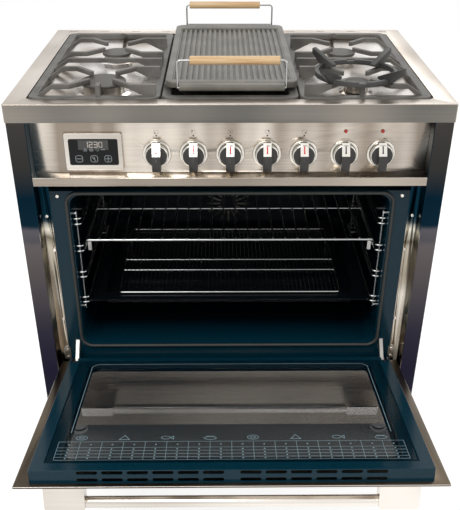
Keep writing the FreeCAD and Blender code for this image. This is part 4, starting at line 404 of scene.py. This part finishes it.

# %% [markdown]
# ## Finishes on the CAD pieces
# Every piece whose shape is already right keeps it and only gets its finish. A table of node names by
# finish keeps that in one place. A few of these pieces are copied with softer edges further on.

# %% Dress the nodes
# the column, flange, door and lip steels carry painted reflection and painted shade, made further up
FINISHES = (
    (column_painted_reflection, ["side_panels"]),
    (steel_plain, ["back_panel", "base_pan", "drawer_box", "hinge_arms", "door_hinges", "legs"]),
    (steel_top, ["worktop"]),
    (steel_inside, ["hob_tray"]),
    (steel_front, ["control_fascia"]),
    (door_painted_reflection, ["door_outer_panel"]),
    (steel_painted_shade, ["drawer_front"]),
    (handle_steel_and_painted_highlight, ["door_handle", "drawer_handle", "screws", "clock_housing"]),
    (enamel_oven, ["oven_cavity"]),
    (enamel_pan, ["door_inner_frame"]),
    (enamel_back, ["fan_cover"]),
    (chrome_wire, ["shelf_ladders", "wire_rack", "tray_grid", "bail_front", "bail_rear"]),
    (chrome_ring, ["knob_rings"]),
    (enamel_tray, ["baking_tray"]),
    (aluminium, ["burner_heads", "convection_fan"]),
    (enamel_cap, ["burner_caps"]),
    (brass, ["gas_taps"] + ["tap_spindle_%d" % n for n in range(1, 6)]),
    (zinc, ["gas_manifold", "fan_motor", "heating_elements"]),
    (black_part, ["oven_switches"]),
    (black_knob, ["gas_knob_%d" % n for n in range(1, 6)] + ["thermostat_knob", "selector_knob"]),
    (lamp_lens, ["pilot_lamps"]),
    (lamp_frost, ["oven_lamp"]),
    (porcelain, ["burner_electrodes"]),
    (seal, ["door_gasket"]),
    (glass_inner, ["door_inner_glass"]),
    (glass_outer, ["door_outer_glass"]),
    (glass_clock, ["clock_glass"]),
    (iron_grate, ["grate_left", "grate_centre", "grate_right"]),
    (iron_wok, ["wok_ring"]),
    (iron_griddle, ["griddle"]),
    (beech, ["grip_front", "grip_rear"]),
)
for material, names in FINISHES:
    for name in names:
        nodes[name].data.materials.clear()
        nodes[name].data.materials.append(material)
print("nodes dressed:", sum(len(names) for material, names in FINISHES))

# %% [markdown]
# ## Softer edges on the castings
# A poured casting has no sharp edge: the sand pattern is rounded by a millimetre or two, and those
# edges carry the highlights that make iron look like iron. Each casting is copied, its triangles are
# merged back to flat faces, and a Bevel modifier rounds what is left sharp. The two polished handles
# are softened in the same way.

# %% Soften the castings
bodies = frame["record"]["behaviour"]["bodies"]
body_of = {node: body for body, members in bodies.items() for node in members}
slot_of = {part["node"]: part["material_slot"] for part in frame["record"]["subparts"]}
SAME_POINT = 1e-6             # metres; corners nearer than this are one
FLAT = math.radians(1)        # faces that meet at less are one
SHARP = math.radians(40)      # edges that turn by more are rounded


def settle(piece, node):
    """The piece stands for a CAD node: the node is hidden and the piece rides where it rides."""
    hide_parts(node)
    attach(piece, body_of[node])


def softened(node, radius, material, rings=2, edge=None):
    """A copy of a CAD node with rounded edges; edge is the finish of the rounded strips, a brighter one
    where it paints a highlight on a bend.
    """
    mesh = nodes[node].data.copy()
    form = bmesh.new()
    form.from_mesh(mesh)
    bmesh.ops.remove_doubles(form, verts=form.verts, dist=SAME_POINT)
    bmesh.ops.dissolve_limit(form, angle_limit=FLAT, verts=form.verts, edges=form.edges)
    for face in form.faces:
        face.smooth = True
    form.to_mesh(mesh)
    form.free()
    mesh.materials.clear()
    mesh.materials.append(material)
    mesh.materials.append(edge or material)
    made = bpy.data.objects.new(node + "_soft", mesh)
    scene.collection.objects.link(made)
    rounding = made.modifiers.new("rounded_edges", "BEVEL")
    rounding.width = radius
    rounding.segments = rings
    rounding.limit_method = "ANGLE"
    rounding.angle_limit = SHARP
    rounding.harden_normals = True
    rounding.material = 1
    settle(made, node)
    return made


def refinish(piece, *rules):
    """Faces that pass a rule's test, on their centre and normal, get that rule's own finish."""
    for material, test in rules:
        piece.data.materials.append(material)
        for face in piece.data.polygons:
            if test(face.center, face.normal):
                face.material_index = len(piece.data.materials) - 1


for node, radius, material in (
    ("grate_left", 0.0012, iron_grate),
    ("grate_right", 0.0012, iron_grate),
    ("grate_centre", 0.0012, iron_grate),
    ("wok_ring", 0.0012, iron_wok),
    ("griddle", 0.0010, iron_griddle),
    ("burner_caps", 0.0008, enamel_cap),
    ("door_handle", 0.0012, handle_steel_and_painted_highlight),
    ("drawer_handle", 0.0012, handle_steel_and_painted_highlight),
):
    piece = softened(node, radius, material)
    print(piece.name, len(piece.data.polygons), "faces")

# %% [markdown]
# ## Folded sheets
# A folded sheet catches the light along each bend, a bright line half a millimetre or so wide. So the
# large sheets are copied with a small round on their edges and a brighter finish on it: a painted
# highlight. The faces of one sheet mirror different parts of the room, so each direction of a fold gets its
# own painted tone: the worktop's front a darker painted reflection, the fascia's ledge a painted highlight
# and its lip painted shade, the columns' inner flange brighter painted reflection bands than their face,
# and the door's folds a dark painted reflection, while the door's outer face keeps the pale steel.

# %% Folded sheets
BEND = 0.0006
TOP_BEND = 0.001
FLANGE_REACH = 0.4105         # the flange lies inside this distance from the middle
SIDE_REACH = 0.44             # and the outer sheet outside this one
LEDGE_Z = 0.7420              # the ledge under the knobs
ABOVE_LEDGE_Z = 0.76
SQUARELY = 0.9                # part of a normal that looks one way

# the rounds on the bends of the worktop, the fascia and the columns get the bright steel as a painted
# highlight
top = softened("worktop", TOP_BEND, steel_top, edge=steel_painted_highlight)
# the worktop's front faces get the darker painted reflection
refinish(top, (worktop_front_painted_reflection, lambda spot, facing: facing.y < -SQUARELY))
controls = softened("control_fascia", BEND, steel_front, edge=steel_painted_highlight)
# the ledge's upward faces get the painted highlight and the lip's front faces painted shade
refinish(controls, (steel_painted_highlight, lambda spot, facing: facing.z > SQUARELY and spot.z < ABOVE_LEDGE_Z),
         (steel_painted_shade, lambda spot, facing: facing.y < -SQUARELY and spot.z < LEDGE_Z))
sides = softened("side_panels", BEND, column_painted_reflection, edge=steel_painted_highlight)
refinish(sides, (flange_painted_reflection, lambda spot, facing: abs(spot.x) < FLANGE_REACH),
         (steel_plain, lambda spot, facing: abs(facing.x) > SQUARELY and abs(spot.x) > SIDE_REACH))
# the door's folds get a dark painted reflection and their rounds the bright handle steel as a painted
# highlight; the outer face keeps the pale fascia steel
door_sheet = softened("door_outer_panel", BEND, door_painted_reflection, edge=handle_steel_and_painted_highlight)
refinish(door_sheet, (steel_front, lambda spot, facing: facing.z < -SQUARELY))
for piece in (top, controls, sides, door_sheet):
    print(piece.name, len(piece.data.polygons), "faces")

# %% [markdown]
# ## Printed and lit marks
# Marks on the panel and the clock are thin: they are drawn as flat strips and dots of ink, a tenth of
# a millimetre off the face, from lists of points in millimetres. Screens and prints like these are
# easier to read as small mesh shapes than as textures, and they stay sharp at any distance.

# %% Strips and dots of ink


def ink(name, body, slot, material, strokes, width, origin, right, up, dots=(), thick=0.0001):
    """Flat marks on a plane: strokes are runs of (u, v) points, dots are (u, v, radius), all in mm."""
    mesh = bpy.data.meshes.new(name)
    form = bmesh.new()
    right, up = Vector(right), Vector(up)
    out = right.cross(up)

    def point(u, v, lift):
        return Vector(origin) + (right * u + up * v) / 1000 + out * lift

    def slab(outline):
        low = [form.verts.new(point(u, v, 0)) for u, v in outline]
        high = [form.verts.new(point(u, v, thick)) for u, v in outline]
        form.faces.new(high)
        form.faces.new(low[::-1])
        for a in range(len(outline)):
            b = (a + 1) % len(outline)
            form.faces.new((low[a], low[b], high[b], high[a]))

    for run in strokes:
        for (u0, v0), (u1, v1) in zip(run, run[1:]):
            reach = math.hypot(u1 - u0, v1 - v0)
            along = ((u1 - u0) / reach * width / 2, (v1 - v0) / reach * width / 2)
            slab([(u0 - along[0] + along[1], v0 - along[1] - along[0]),
                  (u1 + along[0] + along[1], v1 + along[1] - along[0]),
                  (u1 + along[0] - along[1], v1 + along[1] + along[0]),
                  (u0 - along[0] - along[1], v0 - along[1] + along[0])])
    for u, v, radius in dots:
        slab([(u + radius * math.cos(math.tau * s / 16), v + radius * math.sin(math.tau * s / 16))
              for s in range(16)])
    form.to_mesh(mesh)
    form.free()
    mesh.materials.append(material)
    made = bpy.data.objects.new(name, mesh)
    scene.collection.objects.link(made)
    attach(made, body)
    return made


def rounded_square(u, v, side, corner):
    """A closed run of points round a square with cut corners."""
    h, c = side / 2, corner
    run = [(-h + c, -h), (h - c, -h), (h, -h + c), (h, h - c),
           (h - c, h), (-h + c, h), (-h, h - c), (-h, -h + c)]
    run = [(u + a, v + b) for a, b in run]
    return run + run[:1]

# %% [markdown]
# ## Knobs with a bright pointer plate
# Each knob is a phenolic moulding on a wide skirt. A bright plate is let into the slope of its grip,
# with a pointer line down the middle and a dot at its end: red on the gas knobs, black on the oven's
# two. The shape is the CAD one with softer edges; the rim of the skirt is plated, so its faces get the
# plating. The plate, the line and the dot are thin, so they are laid on the slope like the prints.

# %% Knobs
SLOPE_TOP_Y, SLOPE_TOP_Z = -0.283, 0.8045     # the slope's upper end, from the CAD model
SLOPE_UP = Vector((0, 0.016, 0.028)).normalized()
KNOB_AXIS_Z = 0.783
SKIRT_RIM = 0.0215
PLATE_W, PLATE_HIGH, PLATE_LOW = 16.5, -1.0, -12.5      # mm from the slope's upper end, minus is down
POINTER_W, POINTER_LOW = 2.6, -11.0
DOT_V, DOT_RADIUS = -13.6, 1.9
INLAY_THICK = 0.0003          # metres; it stands over the plate
KNOB_ROUND = 0.0009


def dressed_knob(node, x, pointer):
    """Softened knob with a plated rim, a bright plate, a pointer line and a dot."""
    made = softened(node, KNOB_ROUND, black_knob, rings=3)
    refinish(made, (chrome_ring,
                    lambda spot, facing: math.hypot(spot.x - x, spot.z - KNOB_AXIS_Z) > SKIRT_RIM))
    laid = {"origin": (x, SLOPE_TOP_Y, SLOPE_TOP_Z), "right": (1, 0, 0), "up": SLOPE_UP}
    ink(node + "_plate", body_of[node], "bright_steel", knob_plate,
        [((0, PLATE_HIGH), (0, PLATE_LOW))], PLATE_W, **laid)
    ink(node + "_pointer", body_of[node], "knob_black", pointer,
        [((0, PLATE_HIGH), (0, POINTER_LOW))], POINTER_W,
        dots=[(0, DOT_V, DOT_RADIUS)], thick=INLAY_THICK, **laid)


GAS_KNOBS_X = [-0.152, -0.076, 0.0, 0.076, 0.152]
OVEN_KNOBS_X = {"thermostat_knob": 0.237, "selector_knob": 0.313}
for number, x in enumerate(GAS_KNOBS_X, 1):
    dressed_knob("gas_knob_%d" % number, x, red_inlay)
for node, x in OVEN_KNOBS_X.items():
    dressed_knob(node, x, black_part)
print("knobs dressed:", len(GAS_KNOBS_X) + len(OVEN_KNOBS_X))

# %% [markdown]
# ## The clock's display
# The display is a paler grey window in the black glass, with a plain time in seven-segment digits, four
# small generic signs under it and three touch fields. Every digit is drawn from the same seven strokes.

# %% Clock
SEGMENTS = {
    "a": ((0, 2), (1, 2)), "b": ((1, 2), (1, 1)), "c": ((1, 1), (1, 0)), "d": ((0, 0), (1, 0)),
    "e": ((0, 1), (0, 0)), "f": ((0, 2), (0, 1)), "g": ((0, 1), (1, 1)),
}
DIGITS = {"0": "abcdef", "1": "bc", "2": "abged", "3": "abgcd"}
CLOCK_FACE = (-0.282, -0.27245, 0.789)
DIGIT_W, DIGIT_H = 6.4, 5.6

face_axes = {"origin": CLOCK_FACE, "right": (1, 0, 0), "up": (0, 0, 1)}
ink("clock_window", "cooker", "dark_glass", shade_ink, [((-20.5, 15.5), (20.5, 15.5))], 21.0, thick=0.00004,
    **face_axes)
strokes = []
for digit, u in zip("1230", (-17.5, -7.8, 2.4, 12.0)):
    for part in DIGITS[digit]:
        strokes.append([(u + a * DIGIT_W, 10.6 + b * DIGIT_H) for a, b in SEGMENTS[part]])
ink("clock_digits", "cooker", "dark_glass", glow_ink, strokes, 1.6, **face_axes)

# %% [markdown]
# ## Signs and touch fields
# The four signs are plain ones: a bell, a lid, a ring for the timer and a pair of waves. Under them are
# three rounded squares with a minus, a hand and a plus. They are strokes of the same ink.

# %% Signs and touch fields
SIGN_V = 4.6
KEY_V, KEY_SIDE = -15.0, 14.0

signs = [[(u + shift, v) for u, v in run] for shift, run in (
    (-17, [(-3, SIGN_V - 2), (3, SIGN_V - 2), (2, SIGN_V + 1), (0, SIGN_V + 3.6),
           (-2, SIGN_V + 1), (-3, SIGN_V - 2)]),
    (-4.5, [(-3.4, SIGN_V - 2), (3.4, SIGN_V - 2), (2.6, SIGN_V + 1.4),
            (-2.6, SIGN_V + 1.4), (-3.4, SIGN_V - 2)]),
    (-4.5, [(0, SIGN_V + 1.4), (0, SIGN_V + 3.4)]),
    (8, [(3 * math.cos(math.tau * s / 10), SIGN_V + 0.6 + 3 * math.sin(math.tau * s / 10))
         for s in range(11)]),
    (20, [(-3.4, SIGN_V), (-1.7, SIGN_V + 2), (0, SIGN_V), (1.7, SIGN_V + 2), (3.4, SIGN_V)]),
)]
keys = [rounded_square(u, KEY_V, KEY_SIDE, 2.6) for u in (-31, 0, 29)]
keys += [[(-35.5, KEY_V), (-26.5, KEY_V)],
         [(24.5, KEY_V), (33.5, KEY_V)],
         [(29, KEY_V - 4.5), (29, KEY_V + 4.5)]]
keys += [[(-3.6, KEY_V + 3.8), (-0.6, KEY_V - 1.0), (2.4, KEY_V - 4.2)],
         [(-0.6, KEY_V + 3.4), (1.6, KEY_V - 0.6)]]
ink("clock_signs", "cooker", "dark_glass", grey_ink, signs, 1.2, **face_axes)
ink("clock_keys", "cooker", "dark_glass", grey_ink, keys, 1.1, **face_axes)

# %% [markdown]
# ## Marks above the gas knobs
# Over each gas knob a small outlined square with one filled dot shows which burner it feeds, and a dot
# below it marks where the pointer stands when the gas is off. They are etched dark into the steel.

# %% Burner marks
MARK_UP = 47.0                # square's centre above the knob's axis, mm
OFF_UP = 39.0
FASCIA_FACE_Y = -0.266
FED_BURNER = ((-2.2, -2.0), (-2.2, 2.0), (0, 0), (2.2, 2.0), (2.2, -2.0))
MARK_SIDE, MARK_CORNER, MARK_LINE = 8.4, 1.2, 0.35
FED_DOT, OFF_DOT = 1.35, 1.7

outline = rounded_square(0, MARK_UP, MARK_SIDE, MARK_CORNER)
for number, (x, (du, dv)) in enumerate(zip(GAS_KNOBS_X, FED_BURNER), 1):
    ink("burner_mark_%d" % number, "cooker", "bright_steel", black_ink, [outline], MARK_LINE,
        (x, FASCIA_FACE_Y, KNOB_AXIS_Z), (1, 0, 0), (0, 0, 1),
        dots=[(du, MARK_UP + dv, FED_DOT), (0, OFF_UP, OFF_DOT)])
print("marks over", len(GAS_KNOBS_X), "gas knobs")

# %% [markdown]
# ## The cooking table on the inner glass
# Oven glass often carries a printed table: rows and columns with a small picture of a dish over each
# pair. Here the table and its eight dishes are generic ones of plain lines, printed on the glass near
# the door's outer edge. The plane comes from the glass itself: its largest face that looks up.

# %% Cooking table
COLUMNS, COLUMN_PITCH = 16, 42.0
ROWS = (-129, -148, -158, -168, -178, -187)      # mm from the middle of the glass; minus is outwards
DISH_V = -116.0
CELL_DOT = 1.7
GRID_LINE, DISH_LINE, BORDER_LINE = 0.8, 1.3, 1.2
ON_PLANE = 1e-5               # metres

pane_mesh = nodes["door_inner_glass"].data
upper = max((face for face in pane_mesh.polygons if face.normal.z > SQUARELY), key=lambda face: face.area)
plane_normal, plane_spot = upper.normal.copy(), upper.center.copy()
rim = [v.co for v in pane_mesh.vertices if abs((v.co - plane_spot).dot(plane_normal)) < ON_PLANE]
low, high = (Vector([pick(point[i] for point in rim) for i in range(3)]) for pick in (min, max))
middle = (low + high) / 2
middle -= plane_normal * (middle - plane_spot).dot(plane_normal)
printed = {"origin": middle, "right": (1, 0, 0), "up": plane_normal.cross(Vector((1, 0, 0)))}


def oval(u, v, across, along, turns=12):
    """A closed run of points round an oval."""
    return [(u + across * math.cos(math.tau * s / turns), v + along * math.sin(math.tau * s / turns))
            for s in range(turns + 1)]


half = COLUMNS * COLUMN_PITCH / 2
grid = [[(-half, v), (half, v)] for v in ROWS]
grid += [[(-half + n * COLUMN_PITCH, ROWS[0]), (-half + n * COLUMN_PITCH, ROWS[-1])]
         for n in range(COLUMNS + 1)]
marks = [(-half + (n + 0.5) * COLUMN_PITCH, (a + b) / 2, CELL_DOT)
         for a, b in zip(ROWS, ROWS[1:]) for n in range(COLUMNS)]
dishes = []
for n in range(COLUMNS // 2):
    u = -half + (2 * n + 1) * COLUMN_PITCH
    shapes = (
        [oval(u, DISH_V, 11, 7), oval(u, DISH_V, 5, 3)],
        [[(u - 10, DISH_V - 6), (u + 10, DISH_V - 6), (u, DISH_V + 8), (u - 10, DISH_V - 6)]],
        [oval(u - 3, DISH_V, 9, 5),
         [(u + 6, DISH_V), (u + 12, DISH_V + 5), (u + 12, DISH_V - 5), (u + 6, DISH_V)]],
        [oval(u, DISH_V - 2, 12, 5), [(u - 8, DISH_V + 4), (u + 8, DISH_V + 4)]],
    )
    dishes += shapes[n % len(shapes)]
glass_body, glass_slot = body_of["door_inner_glass"], slot_of["door_inner_glass"]
ink("cooking_table", glass_body, glass_slot, table_ink, grid, GRID_LINE, dots=marks, **printed)
ink("cooking_dishes", glass_body, glass_slot, table_ink, dishes, DISH_LINE, **printed)
ink("glass_border", glass_body, glass_slot, table_ink,
    [[(-318, -98), (-318, 165), (-306, 177), (306, 177), (318, 165), (318, -98)]],
    BORDER_LINE, **printed)
print("table:", COLUMNS, "columns,", len(ROWS) - 1, "rows")

# %% [markdown]
# ## Floor and surround
# A catalogue picture has a white ground with a faint shadow. The floor is a plain mid grey that lights
# the object evenly, with a glow added for rays from mirrors and glass and for those that the camera
# sends straight to it: grey and glow add up to white in the open, and where the object shades the
# floor only the grey part goes, so a soft shadow stays. A ray that has passed through a pane gets no
# glow. Camera, mirror and glass rays see the surround at full white; all else gets softer light.

# %% Floor and surround
FLOOR_HALF = 4.0
FLOOR_GLOW = 0.78
SOFT_SKY = 0.45               # the surround's strength for all other rays

mesh = bpy.data.meshes.new("floor")
corners = [(x * FLOOR_HALF, y * FLOOR_HALF, 0) for x, y in ((-1, -1), (1, -1), (1, 1), (-1, 1))]
mesh.from_pydata(corners, [], [(0, 1, 2, 3)])
floor = bpy.data.objects.new("floor", mesh)
scene.collection.objects.link(floor)
pale_floor, tree, shader, where = finish("pale_floor", "BDBCBA", 0.9, Specular_IOR_Level=0.0)
rays = add(tree, "ShaderNodeLightPath")
open_view = add(tree, "ShaderNodeMath", {0: rays.outputs["Transparent Depth"], 1: 0.5},
                operation="LESS_THAN")
direct = add(tree, "ShaderNodeMath", {0: rays.outputs["Is Camera Ray"], 1: open_view.outputs[0]},
             operation="MULTIPLY")
mirrored = add(tree, "ShaderNodeMath",
               {0: rays.outputs["Is Glossy Ray"], 1: rays.outputs["Is Transmission Ray"]},
               operation="MAXIMUM")
either = add(tree, "ShaderNodeMath", {0: direct.outputs[0], 1: mirrored.outputs[0]}, operation="MAXIMUM")
glow = add(tree, "ShaderNodeMath", {0: either.outputs[0], 1: FLOOR_GLOW}, operation="MULTIPLY")
tree.links.new(glow.outputs[0], shader.inputs["Emission Strength"])
shader.inputs["Emission Color"].default_value = linear("FFFFFF")
mesh.materials.append(pale_floor)

world = bpy.data.worlds.new("surround")
world.use_nodes = True
scene.world = world
tree = world.node_tree
rays = add(tree, "ShaderNodeLightPath")
seen = add(tree, "ShaderNodeMath", {0: rays.outputs["Is Camera Ray"], 1: rays.outputs["Is Glossy Ray"]},
           operation="MAXIMUM")
white = add(tree, "ShaderNodeMath", {0: seen.outputs[0], 1: rays.outputs["Is Transmission Ray"]},
            operation="MAXIMUM")
strength = add(tree, "ShaderNodeMapRange", {0: white.outputs[0], 3: SOFT_SKY, 4: 1.0})
tree.links.new(strength.outputs[0], tree.nodes["Background"].inputs["Strength"])
tree.nodes["Background"].inputs["Color"].default_value = linear("FFFFFF")

# %% [markdown]
# ## Lamps
# The lamps are large and soft: one above the left shoulder, a weaker one on the right, and one behind
# that draws a bright line along the back edge of the top.

# %% Lamps
LAMPS = (
    # name, place, aimed at, width, height, watts
    ("key_left", (-0.9, -1.9, 2.6), (0, -0.1, 0.7), 1.6, 1.2, 33),
    ("fill_right", (2.3, -1.3, 1.6), (0, -0.2, 0.5), 1.2, 1.6, 11),
    ("rim_back", (0.3, 1.8, 2.4), (0, 0, 0.8), 1.8, 0.8, 12),
)
for name, spot, target, width, height, watts in LAMPS:
    lamp = bpy.data.lights.new(name, "AREA")
    lamp.shape = "RECTANGLE"
    lamp.size, lamp.size_y, lamp.energy = width, height, watts
    holder = bpy.data.objects.new(name, lamp)
    holder.location = spot
    holder.rotation_euler = (Vector(target) - Vector(spot)).to_track_quat("-Z", "Y").to_euler()
    scene.collection.objects.link(holder)
print("lamps:", len(LAMPS))
